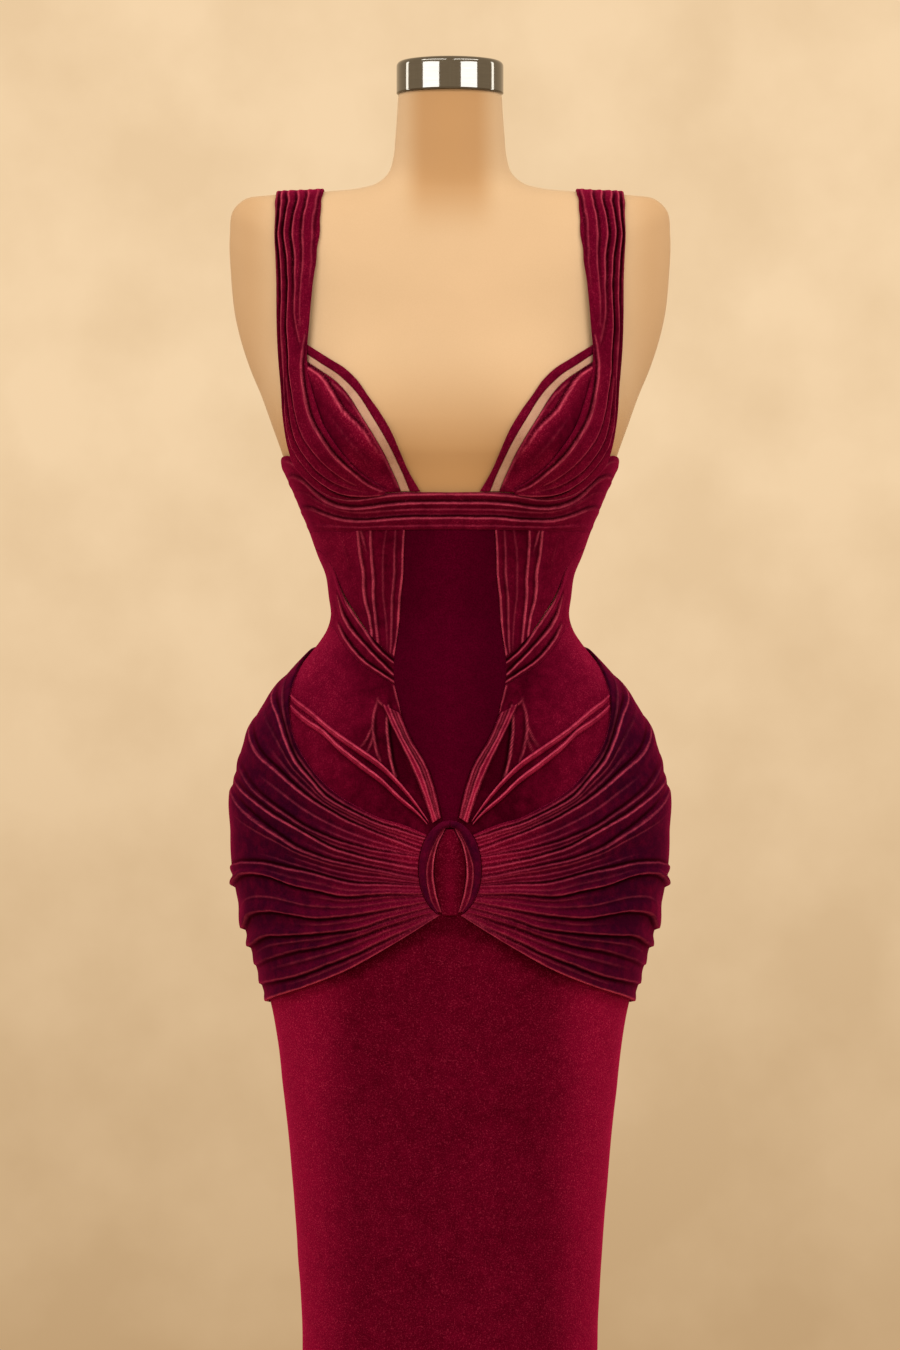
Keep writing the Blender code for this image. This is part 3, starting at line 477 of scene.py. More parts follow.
def cloth(name, place, base, material, folds=(), wall=CLOTH,
          tone=0.5, mirror=True, extra_width=0.0, rough=0.25, calm=1.0):
    """Fine wall with folds over a grid, and its mirrored twin, with painted crest highlights and crease
    shade; tone, the pile's lightness that carries painted sheen and shade, is a number or a function.
    """
    shape = place.shape[:2]
    high = np.broadcast_to(np.asarray(base, float), shape) + wall
    rise, crest_highlight, crease_shade = raise_folds(place, high, folds)
    rise = rise * calm
    middle = skin(place[..., 0], place[..., 1], high)
    inside = ease(edge_far(middle) / 8.0)
    high = high + rise + rough * uneven(middle, DRAPE_WAVE, 0.3) * inside
    outer = skin(place[..., 0], place[..., 1], high)
    low = high - wall
    top = high - edge_drop(outer)
    outer = skin(place[..., 0], place[..., 1], top)
    inner = skin(place[..., 0], place[..., 1], low)
    width, length, area = cut_size(outer)
    width = width + extra_width
    area = min(area, width * length)
    faces = shell_faces(*shape)
    points = np.concatenate([inner.reshape(-1, 3), outer.reshape(-1, 3)])
    tones = tone(outer) if callable(tone) else np.full(shape, tone)
    extra = {}
    for key, values in (("crest_highlight", crest_highlight), ("crease_shade", crease_shade), ("tone", tones)):
        extra[key] = np.concatenate([values.ravel(), values.ravel()])
    sides = (("_left", 1.0), ("_right", -1.0)) if mirror else (("", 1.0),)
    for ending, way in sides:
        node = name + ending
        item = put_closed(node + "_cloth", points * (way, 1.0, 1.0), faces, material, node, extra)


def lathe(name, profile, columns, material, node):
    """Round solid from a profile of radius and height, from the middle of one end to the other."""
    turns = 2 * np.pi * np.arange(columns) / columns
    rings = []
    for radius, z in profile:
        rings.append(np.stack([radius * np.cos(turns), radius * np.sin(turns), np.full(columns, z)],
                              axis=1))
    hubs = [(0.0, 0.0, profile[0][1]), (0.0, 0.0, profile[-1][1])]
    points = np.concatenate(rings + [hubs])
    count = len(profile) * columns
    last = count - columns
    faces = ring_faces(len(profile), columns).tolist()
    for c in range(columns):
        d = (c + 1) % columns
        faces.append((d, c, count))
        faces.append((last + c, last + d, count + 1))
    put_mesh(name, points, faces, material, node)


# Materials
class Nodes:
    """A node tree with helpers that add and link nodes."""

    def __init__(self, tree):
        self.tree = tree

    def add(self, kind, **settings):
        """New node; a setting is one of its sockets or one of its options."""
        node = self.tree.nodes.new("ShaderNode" + kind)
        for key, value in settings.items():
            if key in node.inputs:
                self.give(value, node.inputs[key])
            else:
                setattr(node, key, value)
        return node

    def give(self, value, socket):
        """Link a socket, or set a number or a colour."""
        if isinstance(value, bpy.types.NodeSocket):
            self.tree.links.new(value, socket)
        elif socket.type == "RGBA":
            socket.default_value = (*value, 1.0)
        else:
            socket.default_value = value

    def object_place(self):
        """Place on the object."""
        return self.add("TexCoord").outputs["Object"]

    def noise(self, place, scale, detail, roughness=0.5):
        """Noise value at a place."""
        node = self.add("TexNoise", Vector=place, Scale=scale, Detail=detail, Roughness=roughness)
        return node.outputs["Fac"]

    def painted(self, name):
        """Value that the mesh carries for each point."""
        return self.add("Attribute", attribute_name=name).outputs["Fac"]

    def mix(self, factor, first, second, blend="MIX"):
        """Colour mixed from two."""
        node = self.add("Mix", data_type="RGBA", blend_type=blend)
        for k, value in ((0, factor), (6, first), (7, second)):
            self.give(value, node.inputs[k])
        return node.outputs[2]

    def math(self, operation, first, second, clamp=False):
        """Sum or product of two values."""
        node = self.add("Math", operation=operation, use_clamp=clamp)
        self.give(first, node.inputs[0])
        self.give(second, node.inputs[1])
        return node.outputs[0]

    def ramp(self, value, low, high, to_low=0.0, to_high=1.0, curve="LINEAR"):
        """Value spread from one range onto another."""
        node = self.add("MapRange", interpolation_type=curve, Value=value)
        for key, number in (("From Min", low), ("From Max", high), ("To Min", to_low), ("To Max", to_high)):
            node.inputs[key].default_value = number
        return node.outputs["Result"]

    def bump(self, height, strength, distance):
        """Surface direction from small heights."""
        return self.add("Bump", Strength=strength, Distance=distance, Height=height).outputs["Normal"]


def new_material(name):
    """New material with its nodes and a helper that fills the shader's sockets."""
    material = bpy.data.materials.new(name)
    material.use_nodes = True
    nodes = Nodes(material.node_tree)
    shader = material.node_tree.nodes["Principled BSDF"]

    def fill_in(settings):
        for key, value in settings.items():
            nodes.give(value, shader.inputs[key])

    return material, nodes, fill_in


# The first colour is the painted shade in the creases
CREASE_SHADE = (0.006, 0.0001, 0.001)
SPECK = (0.45, 0.4, 0.42)
SHEEN_TINT = (0.85, 0.035, 0.2)


def velvet(name, dark, light, highlight_colour, sheen=0.4, patch=1.0, spark_from=0.3):
    """Silk velvet pile with painted light that follows the cloth: sheen and shade in its tone, highlights on
    the crests, shade in the creases and glints of the nap.
    """
    material, nodes, fill_in = new_material(name)
    place = nodes.object_place()
    nap = nodes.noise(place, 820.0, 3.0, 0.6)
    brushed = nodes.noise(place, 95.0, 4.0, 0.62)
    broad = nodes.noise(place, 17.0, 3.0)
    fine_shift = nodes.ramp(brushed, 0.3, 0.7, -0.15 * patch, 0.15 * patch)
    broad_shift = nodes.ramp(broad, 0.3, 0.7, -0.09 * patch, 0.09 * patch)
    # the tone attribute carries painted sheen and shade, with random mottling added
    tone = nodes.math("ADD", nodes.math("ADD", nodes.painted("tone"), fine_shift), broad_shift, True)
    # painted highlight on the fold crests, broken up by the brushed noise
    patchy = nodes.math("MULTIPLY", nodes.painted("crest_highlight"), nodes.ramp(brushed, 0.32, 0.6, 0.5, 1.0))
    colour = nodes.mix(patchy, nodes.mix(tone, dark, light), highlight_colour)
    # painted shade in the creases
    colour = nodes.mix(nodes.painted("crease_shade"), colour, CREASE_SHADE)
    # painted glints of the nap, where the tone is light
    lit = nodes.ramp(nap, 0.55, 0.72, 0.0, 0.5)
    spark = nodes.math("MULTIPLY", lit, nodes.ramp(tone, spark_from, 1.0), True)
    colour = nodes.mix(spark, colour, highlight_colour)
    colour = nodes.mix(nodes.ramp(nap, 0.38, 0.62, 0.62, 0.0), colour, SPECK, "MULTIPLY")
    fill_in({"Base Color": colour, "Normal": nodes.bump(nap, 0.35, 0.0004),
             "Roughness": nodes.ramp(brushed, 0.3, 0.7, 0.72, 0.9), "Specular IOR Level": 0.0,
             "Sheen Weight": sheen, "Sheen Roughness": 0.36, "Sheen Tint": SHEEN_TINT})
    return material


def net(name):
    """Fine skin-toned mesh."""
    material, nodes, fill_in = new_material(name)
    place = nodes.object_place()
    voronoi = nodes.add("TexVoronoi", feature="DISTANCE_TO_EDGE", Vector=place, Scale=1100.0)
    cells = voronoi.outputs["Distance"]
    broad = nodes.noise(place, 60.0, 2.0)
    colour = nodes.mix(nodes.ramp(cells, 0.05, 0.3), (0.38, 0.22, 0.165), (0.24, 0.115, 0.085))
    colour = nodes.mix(nodes.ramp(broad, 0.3, 0.7), colour, (0.42, 0.26, 0.195))
    fill_in({"Base Color": colour, "Normal": nodes.bump(cells, 0.4, 0.0003), "Roughness": 0.62,
             "Specular IOR Level": 0.3})
    return material


def cover(name):
    """Smooth stretched fabric of the dress form."""
    material, nodes, fill_in = new_material(name)
    place = nodes.object_place()
    grain = nodes.noise(place, 900.0, 2.0, 0.6)
    cloud = nodes.noise(place, 9.0, 3.0)
    colour = nodes.mix(nodes.ramp(cloud, 0.3, 0.7), (0.54, 0.405, 0.266), (0.575, 0.43, 0.285))
    # painted shade from the tone attribute, darker and browner
    colour = nodes.mix(nodes.painted("tone"), colour, (0.41, 0.235, 0.10))
    colour = nodes.mix(nodes.ramp(grain, 0.3, 0.7, 0.0, 0.12), colour, (0.40, 0.28, 0.17))
    fill_in({"Base Color": colour, "Normal": nodes.bump(grain, 0.12, 0.0003),
             "Roughness": nodes.ramp(grain, 0.3, 0.7, 0.5, 0.62), "Specular IOR Level": 0.15,
             "Sheen Weight": 0.05})
    return material


def metal(name, colour, roughness, stretch, mark):
    """Metal with fine turning or brushing marks."""
    material, nodes, fill_in = new_material(name)
    sized = nodes.add("Mapping", Vector=nodes.object_place(), Scale=stretch).outputs["Vector"]
    lines = nodes.noise(sized, 40.0, 4.0, 0.6)
    dull = nodes.mix(nodes.ramp(lines, 0.3, 0.7), colour, tuple(c * 0.88 for c in colour))
    fill_in({"Base Color": dull, "Roughness": nodes.ramp(lines, 0.3, 0.7, roughness, roughness + mark),
             "Metallic": 1.0})
    return material


# The same velvet in lit and shaded copies, as painted light: the centre panel's copy is darker, the skirt's
# and the strips' copies lighter and the sash's reaches a darker plum; the last colour of each is its painted
# highlight
CRIMSON = velvet("crimson_velvet", (0.038, 0.0001, 0.0065), (0.19, 0.003, 0.03), (0.50, 0.062, 0.125))
SKIRT = velvet("skirt_velvet", (0.055, 0.0001, 0.0065), (0.24, 0.003, 0.036), (0.45, 0.05, 0.11), patch=0.6,
               spark_from=-0.5)
CENTRE = velvet("centre_velvet", (0.044, 0.0001, 0.0085), (0.078, 0.0002, 0.0135), (0.12, 0.003, 0.03),
                sheen=0.2)
SASH = velvet("sash_velvet", (0.026, 0.001, 0.0125), (0.2, 0.003, 0.031), (0.44, 0.052, 0.115))
STRIP = velvet("strip_velvet", (0.085, 0.0006, 0.014), (0.40, 0.012, 0.066), (0.58, 0.07, 0.15))
NET = net("nude_net")
COVER = cover("form_cover")
CHROME = metal("polished_chrome", (0.17, 0.17, 0.165), 0.05, (1.0, 1.0, 30.0), 0.03)
STEEL = metal("brushed_steel", (0.5, 0.49, 0.47), 0.28, (1.0, 1.0, 60.0), 0.12)


# Dress form
def cover_painted_shade(points):
    """Painted shade on the cover: darker and browner at the front of the neck, at the arm ends and low on the
    chest.
    """
    x, y, z = np.moveaxis(points, -1, 0)
    neck = 0.85 * ease((z - 1425.0) / 70.0) * (1.0 - ease((np.abs(x) - 22.0) / 27.0))
    low = 0.95 * ease((1337.0 - z) / 128.0)
    side = 0.45 * ease((np.abs(x) - 150.0) / 40.0)
    return np.maximum(np.maximum(neck, low) * ease((20.0 - y) / 40.0), side)


def build_form():
    """Torso of the form with its neck cap, pole and base plate."""
    turns = np.linspace(0.0, 360.0, 112, endpoint=False)
    sin = np.sin(np.radians(turns))
    cos = np.cos(np.radians(turns))
    # half width, depth in front, depth behind and height of the lower end
    lower = np.array([(140, 92, 104, 690), (157, 106, 118, 727), (170, 113, 125, 764),
                      (181, 117, 131, 801)], float)
    rings = []
    for z in np.linspace(690.0, 801.0, 14):
        half, ahead, behind, _ = smooth_line(lower[:, 3], lower, z)
        rings.append(np.stack([half * sin, -np.where(cos > 0, ahead, behind) * cos, np.full_like(sin, z)],
                              axis=-1))
    for level in np.concatenate([np.linspace(level_at(830.0), level_at(1240.0), 48),
                                 np.linspace(RING_LEVEL[28], RING_LEVEL[-1], 92)]):
        rings.append(skin(turns, np.full_like(turns, level), np.full_like(turns, -0.8)))
    points = np.concatenate([rings[0] * (0.02, 0.02, 1.0), *rings, rings[-1] * (0.02, 0.02, 1.0)])
    put_closed("form_cover", points, ring_faces(len(rings) + 2, len(turns)), COVER, "form_torso",
               {"tone": cover_painted_shade(points)})
    cap = [(49, 1571.1), (49.8, 1571.6)]
    cap += [(49.8, 1571.6 + 25.0 * t) for t in np.linspace(0.05, 1, 8)]
    cap += [(49.8 - 5.0 * (1 - math.cos(t)), 1596.6 + 5.0 * math.sin(t)) for t in np.linspace(0.2, 1.5, 7)]
    cap += [(40, 1602.4), (28, 1603), (14, 1603.4), (3, 1603.6)]
    lathe("neck_cap_chrome", cap, 96, CHROME, "neck_cap")
    pole = [(12.3, 22.3), (12.5, 22.6)] + [(12.5, z) for z in np.linspace(40, 689.4, 8)] + [(12.3, 689.7)]
    lathe("pole_steel", pole, 48, STEEL, "stand_pole")
    base = [(120, 0), (126, 0.2), (129.3, 1.6), (130, 3.2), (130, 7.2), (128.8, 9.6), (125.5, 11.3),
            (121, 12.1), (100, 13.1), (70, 14.7), (40, 16.3), (28.5, 17), (26, 17.9), (24.8, 20),
            (24.2, 21.4), (23, 22)]
    lathe("base_steel", base, 96, STEEL, "stand_base")


# Bodice
BAND_LOW = 1164.0    # lower edge of the underbust band
WAIST_TOP = 1047.0   # upper and lower edge of the waist pleats at the centre front
WAIST_LOW = 1022.0
SIDE_WAIST = 1079.0  # lower edge at the side seam
# edges of the waist pleats between the two seams: x and z from the front
UPPER_EDGE = [(67, 1061), (87, 1087), (101, 1113), (115, 1141)]
LOWER_EDGE = [(65, 1031), (80, 1040), (96, 1057), (106.5, 1073)]
UPPER = [edge_at(WAIST_TOP)] + [spot(x, z) for x, z in UPPER_EDGE] + [turn_at(SIDE, 1150)]
LOWER = [edge_at(WAIST_LOW)] + [spot(x, z) for x, z in LOWER_EDGE] + [turn_at(SIDE, SIDE_WAIST)]


def side_sheen(points):
    """Painted sheen: lighter pile towards the sides, where it is seen from a low angle."""
    return 0.24 + 0.3 * ease((np.abs(points[..., 0]) - 50) / 80)


def build_bodice():
    """Centre front, side fronts, waist pleats, hip yokes and back panels."""
    rows = spread(120, 300)
    edge = np.array([edge_at(BAND_LOW + (HIP_SEAM - BAND_LOW) * t) for t in rows])
    across = 2.0 * spread(40, 90) - 1.0
    place = draw_in(grid(edge[:, :1] * across, edge[:, 1:]), first_row=0.35, last_row=0.35)
    # painted shade: the centre panel darkens towards its edges, under the side panels
    cloth("bodice_centre_front", place, EASE, CENTRE, mirror=False,
          tone=lambda p: 0.5 - 0.5 * np.abs(p[..., 0]) / 52, rough=0.35)

    steps = closer(spread(110, 95), 0.48, 0.7)
    down = spread(60, 110)
    centre = np.array([edge_at(BAND_LOW + (WAIST_TOP - BAND_LOW) * t) for t in down])
    side = np.array([turn_at(SIDE, BAND_LOW - 13.0 * t) for t in down])
    low = path(UPPER, steps)
    centre[-1] = low[0]
    side[-1] = low[-1]
    top = path([edge_at(BAND_LOW)] + [turn_at(a, BAND_LOW) for a in (40, 65, SIDE)], steps)
    place = fill(centre[::-1], side[::-1], low, top, steps)[:, ::-1]
    tucks = [
        ([(42, 1163), (44, 1118), (47, 1086), (51.5, 1049)], (1.6, 2, 2, 1.6), (5, 7, 5), 1, -1, 1, 0.2),
        ([(50, 1163), (52, 1114), (53.5, 1086), (55, 1048)], (0.6, 1.5, 1.4, 1), (4, 5, 3), 1.2, -1, 0.8,
         0.5),
        ([(58.5, 1163), (62, 1124), (59.5, 1086), (57.5, 1052)], (0.5, 0.9, 0.8, 0.3), (3, 3.5, 2), 1.3, -1,
         0.6, 0.3),
        ([(73, 1164), (70.5, 1116), (69, 1086), (66, 1058)], (1.2, 1.8, 1.8, 1.2), (7, 8, 4), 1.2, -1, 1.3,
         0.45),
        ([(85, 1164), (81, 1133), (77, 1095), (72, 1066)], (1.4, 2, 2, 1.4), (9, 9, 5), 1.2, -1, 1.3, 0.45),
        ([(82, 1163), (79, 1152), (76.5, 1141)], (1.2, 1.2, 0), (3, 3, 2), 1.1, -1, 0.9, 0.4),
        ([(104, 1164), (98, 1148), (93, 1120)], (0.4, 0.7, 0), (7, 6, 3), 2.5, -1, 0.2, 0.2),
    ]
    cloth("bodice_side_front", draw_in(place), EASE, CRIMSON, folds_from(tucks, OVER), tone=side_sheen)

    steps = spread(70, 130)
    place = loft(path(UPPER, steps), path(LOWER, steps), spread(56, 45))
    pleats = [
        ([(53, 1043), (65, 1053.5), (78, 1070), (91.5, 1089), (103, 1111), (116, 1139)],
         (2.2, 3.2, 3.4, 2.4, 0.1), (4, 7, 9, 12), 1.8, 1, 0.9),
        ([(53, 1032), (66, 1044.5), (77, 1056), (88, 1067.5), (96, 1077.5), (102.5, 1088.5), (107, 1103)],
         (1.6, 3, 3, 2.2, 0.8), (4, 6, 8, 9), 2, 1, 1),
        ([(51.5, 1025), (66, 1034.5), (79.5, 1044), (95, 1060.5), (106, 1078)], (1.4, 2.4, 2.6, 2.2, 0.8),
         (3, 4, 5, 6), 1.6, 1, 1),
    ]
    cloth("waist_pleats", draw_in(place, first_row=0), EASE, CRIMSON, folds_from(pleats),
          tone=side_sheen)

    down = closer(spread(108, 160), 0.58, 0.72)
    steps = closer(spread(84, 130), 0.34, 0.6)
    centre = np.array([edge_at(WAIST_LOW + (HIP_SEAM - WAIST_LOW) * t) for t in down])
    seam = path([turn_at(SIDE, z) for z in (SIDE_WAIST, 975, HIP_SEAM)], down)
    top = path(LOWER, steps)
    hip = path([edge_at(HIP_SEAM), turn_at(45, HIP_SEAM), turn_at(SIDE, HIP_SEAM)], steps)
    place = fill(centre[::-1], seam[::-1], hip, top, steps)
    fan = [
        ([(51.5, 1021), (48.5, 1010), (45, 997)], (1.4, 1.6, 1.2), (3, 3, 2), 0.9, -1, 0.8, 0),
        ([(57, 1003), (57.5, 985), (56, 966), (53, 948), (50, 938.5)], (1, 2.2, 2.2, 1.4), (7, 8, 5), 1.8,
         -1, 1.2, 1),
        ([(66.5, 1010), (70.5, 990), (69, 970), (64.5, 953)], (0.3, 1.6, 1.6, 0.6), (6, 7, 4), 1.8, -1, 1.1,
         0.8),
        ([(71, 984), (77, 972), (84, 964)], (1, 1.2, 0), (4, 4, 3), 1.7, -1, 1, 0.7),
        ([(70, 975), (74, 965), (78, 959)], (1, 1, 0), (4, 3.5, 3), 1.7, -1, 1, 0.7),
        ([(66.5, 1010), (61, 1004), (56, 1001)], (0.3, 1.4, 0.8), (4, 4, 3), 1.7, 1, 1, 0.6),
    ]

    def yoke_light_and_shade(points):
        """Painted sheen lighter at the waist and in a patch by the side; painted shade under the hip strips
        and the waist pleats and in a thin line beside the V strip.
        """
        tone = side_sheen(points) - 0.16 * ease((1000.0 - points[..., 2]) / 50)
        tone += 0.26 * beside(points, [(110, 1072), (121, 1052), (136, 1032)], 13)
        tone -= 0.10 * beside(points, [(56, 1015), (74, 1027), (92, 1044)], 11)
        return tone - 0.5 * beside(points, [(53, 990), (50, 962), (42, 938)], 5)

    cloth("hip_yoke", draw_in(place), EASE, CRIMSON, folds_from(fan, ON_YOKE), tone=yoke_light_and_shade, rough=0.5)

    turns = SIDE + 90.0 * spread(50, 150)
    rows = spread(90, 380)
    heights = [HIP_SEAM, 910, 950, 985, 1012, 1036, 1056, 1072, 1088, 1112, 1148, 1190, 1226]
    levels = along([level_at(z) for z in heights], rows)
    place = grid(turns[:, None], levels)
    place[:, -4:, 1] += (turns[:, None] - 90) / 90.0 * 4.0 * np.array([0.4, 0.7, 0.9, 1])
    back_folds = []
    soft_folds = [(1096, 94, 148, 0.9), (1082, 98, 165, 1.2), (1070, 93, 140, 0.8), (1112, 118, 170, 0.6)]
    for z, start, end, tall in soft_folds:
        line = path([turn_at(start, z + 9), turn_at(0.5 * (start + end), z), turn_at(end, z + 4)], 40)
        back_folds.append(fold(line, (0, tall, tall, 0), (6, 9, 6), 4, 1, 0.25, 0.3))
    cloth("bodice_back", draw_in(place), EASE, CRIMSON, back_folds, tone=side_sheen, rough=0.5)


# Neckline, cup and strap lines: x, z from the front
BINDING_TOP = [
    (27, 1197.5), (34, 1209), (45, 1233), (54, 1254), (65, 1272), (74.5, 1285), (85, 1300), (94, 1309),
    (112, 1321), (126, 1330), (135, 1336),
]
BINDING_LOW = [
    (36.5, 1197.5), (43, 1214), (52, 1233), (61.5, 1251), (71, 1266.5), (80, 1281), (91, 1294.5),
    (103, 1305.5), (118, 1315.5), (129, 1323), (137, 1328),
]
CUP_TOP = [
    (45, 1197.5), (51, 1212), (59, 1229.5), (66.5, 1243), (74, 1255.5), (81, 1266.5), (88.5, 1279),
    (96, 1289.5), (107, 1300.5), (119, 1309), (131, 1317), (138, 1321),
]
STRAP_INNER = [
    (56.5, 1199.5), (71, 1208.5), (85, 1219.5), (100, 1237), (112, 1255), (120, 1276), (126, 1296),
    (129.5, 1318), (128, 1352), (125.4, 1388), (122.4, 1420), (119.8, 1447),
]
STRAP_OUTER = [
    (60, 1196), (78, 1193), (94, 1192.8), (111, 1197.3), (120, 1203), (129.5, 1211.5), (143, 1228),
    (146.5, 1240), (150.5, 1262), (155, 1313), (158, 1350), (160, 1385), (161.5, 1420), (162, 1447),
]
BAND_TOP = [
    (0, 1197), (30, 1197), (60, 1195.5), (78, 1192.5), (94, 1192.3), (111, 1196.8), (120, 1202.5),
    (129.5, 1211), (143, 1227.3),
]


def thread(first, last, pairs, parts=60):
    """Line over a grid between two lines; a pair is the fraction along and the fraction across."""
    pairs = np.array(pairs, float)
    steps = np.linspace(0, 1, len(first))
    u = np.linspace(pairs[0, 0], pairs[-1, 0], parts + 1)
    v = smooth_line(pairs[:, 0], pairs[:, 1:], u)
    one = np.stack([np.interp(u, steps, first[:, 0]), np.interp(u, steps, first[:, 1])], axis=1)
    two = np.stack([np.interp(u, steps, last[:, 0]), np.interp(u, steps, last[:, 1])], axis=1)
    return one * (1 - v) + two * v


def build_top():
    """Underbust band, cups, mesh, neckline binding and straps."""
    steps = np.linspace(0, 1, 90)
    top = [spot(x, z) for x, z in BAND_TOP] + [turn_at(80, 1233), turn_at(SIDE, 1226)]
    half_top = path(top, steps)
    half_low = path([turn_at(angle, BAND_LOW) for angle in (0, 30, 60, SIDE)], steps)
    top_line = np.concatenate([half_top[:0:-1] * (-1, 1), half_top])
    low_line = np.concatenate([half_low[:0:-1] * (-1, 1), half_low])
    place = loft(top_line, low_line, spread(48, 34))
    folds = []
    # fraction down the band, height, gentle width, painted crest highlight and painted crease shade
    rolls = [(0.05, 2.2, 5, 0.8, 0.2), (0.29, 3, 5.5, 0.95, 0.8), (0.46, 1.3, 4, 0.5, 0.4),
             (0.60, 0.8, 3, 0.35, 0.3), (0.70, 2.6, 9, 0.9, 0.9), (0.90, 2, 6, 0.2, 0)]
    for at, tall, soft, crest_highlight, crease_shade in rolls:
        bend = 0.025 * math.sin(at * 17)
        pairs = [(0, at), (0.12, at + bend), (0.25, at - bend), (0.38, at), (0.5, at), (0.62, at),
                 (0.75, at - bend), (0.88, at + bend), (1, at)]
        line = thread(top_line, low_line, pairs, 120)
        talls = [tall * v for v in (0.5, 0.8, 1, 1, 0.8, 1, 1, 0.8, 0.5)]
        crest_highlights = [crest_highlight * v for v in (0, 0.5, 0.8, 1, 1, 1, 0.8, 0.5, 0)]
        folds.append(fold(line, talls, (soft, soft, soft), 1.5, 1, crest_highlights, crease_shade))
    quiet = 1.0 - 0.6 * ease((np.abs(place[..., 0]) - 62) / 20)
    cloth("underbust_band", draw_in(place), EASE, CRIMSON, folds, mirror=False, tone=0.42,
          calm=quiet)

    steps = spread(80, 180)
    binding_top, binding_low, cup_top = [seen(line, FACE, steps)
                                         for line in (BINDING_TOP, BINDING_LOW, CUP_TOP)]
    rows = spread(9, 8)
    place = draw_in(loft(binding_top, binding_low, rows), first_end=0.5)
    arch = 0.9 * np.sin(np.pi * rows) ** 0.8
    cloth("neckline_binding", place, EASE + arch - 0.4, CRIMSON, wall=1.6, extra_width=0.018,
          tone=0.5, rough=0)
    place = draw_in(loft(binding_low, cup_top, spread(7, 8)), first_end=0.5)
    cloth("mesh_strip", place, EASE, NET, wall=1, extra_width=0.008, rough=0)

    low_points = [(45, 1197.5), (60, 1196.6), (78, 1193.6), (94, 1193.4), (111, 1198), (120, 1203.8),
                  (129.5, 1212.3), (141.5, 1227.8)]
    across = spread(60, 110)
    cup_low = seen(low_points, FACE, across)
    outer = seen([(141.5, 1227.8), (146, 1245), (150, 1275), (150, 1303)], FACE, steps)
    shoulder = seen([(138, 1321), (145, 1313), (150, 1303)], FACE, across)
    place = fill(cup_top, outer, cup_low, shoulder, across)
    bright = [(131, 1312), (117.5, 1302), (106, 1284), (99, 1272), (82, 1254), (72.5, 1241), (62, 1228)]
    cup_folds = [
        (bright, (2.2, 3.4, 3.2, 2.4, 1.2, 0.3), (14, 13, 9, 5), 2.6, -1, 1.3, 0.9),
        ([(112, 1268), (98, 1250), (84, 1233), (70, 1219)], (0, 1, 0.8, 0), (8, 8, 6), 3, -1, 0.3, 0.2),
        ([(47, 1201), (60, 1228), (75, 1254), (90, 1278), (108, 1297)], (0.8, 1, 1, 0.8), (3.5, 3.5, 3.5),
         1.4, 1, 1, 0),
    ]

    def cup_painted_light(points):
        """Painted highlight along the fold, painted light low on the cup and painted shade beside the strap.
        """
        tone = 0.24 + 0.6 * beside(points, [(x + 3, z + 4) for x, z in bright], 8)
        return tone + 0.45 * beside(points, [(60, 1205), (82, 1212), (92, 1226)], 12)

    cloth("cup", draw_in(place, last_row=0, last_end=0, first_row=0.4), EASE, CRIMSON,
          folds_from(cup_folds, OVER), tone=cup_painted_light, rough=0.3)

    inner = [spot(x, z) for x, z in STRAP_INNER]
    inner += [over_shoulder(118.6, 50)]
    inner += [over_shoulder(117, a) for a in (62, 76, 90, 104, 118)]
    inner += [over_shoulder(116.5, 130)]
    inner += [spot(x, z, behind=True) for x, z in ((115.5, 1450), (113, 1420), (106, 1350), (99, 1290))]
    inner += [turn_at(141, 1229.2)]
    outer = [spot(x, z) for x, z in STRAP_OUTER]
    outer += [over_shoulder(161.6, 61)]
    outer += [over_shoulder(161, a) for a in (68, 79, 90, 101, 112)]
    outer += [over_shoulder(160.3, 119)]
    outer += [spot(x, z, behind=True) for x, z in ((159, 1450), (156, 1420), (146, 1350), (136, 1290))]
    outer += [turn_at(124.5, 1228.6)]
    steps = spread(196, 560)
    first = path(inner, steps)
    last = path(outer, steps)
    folds = []
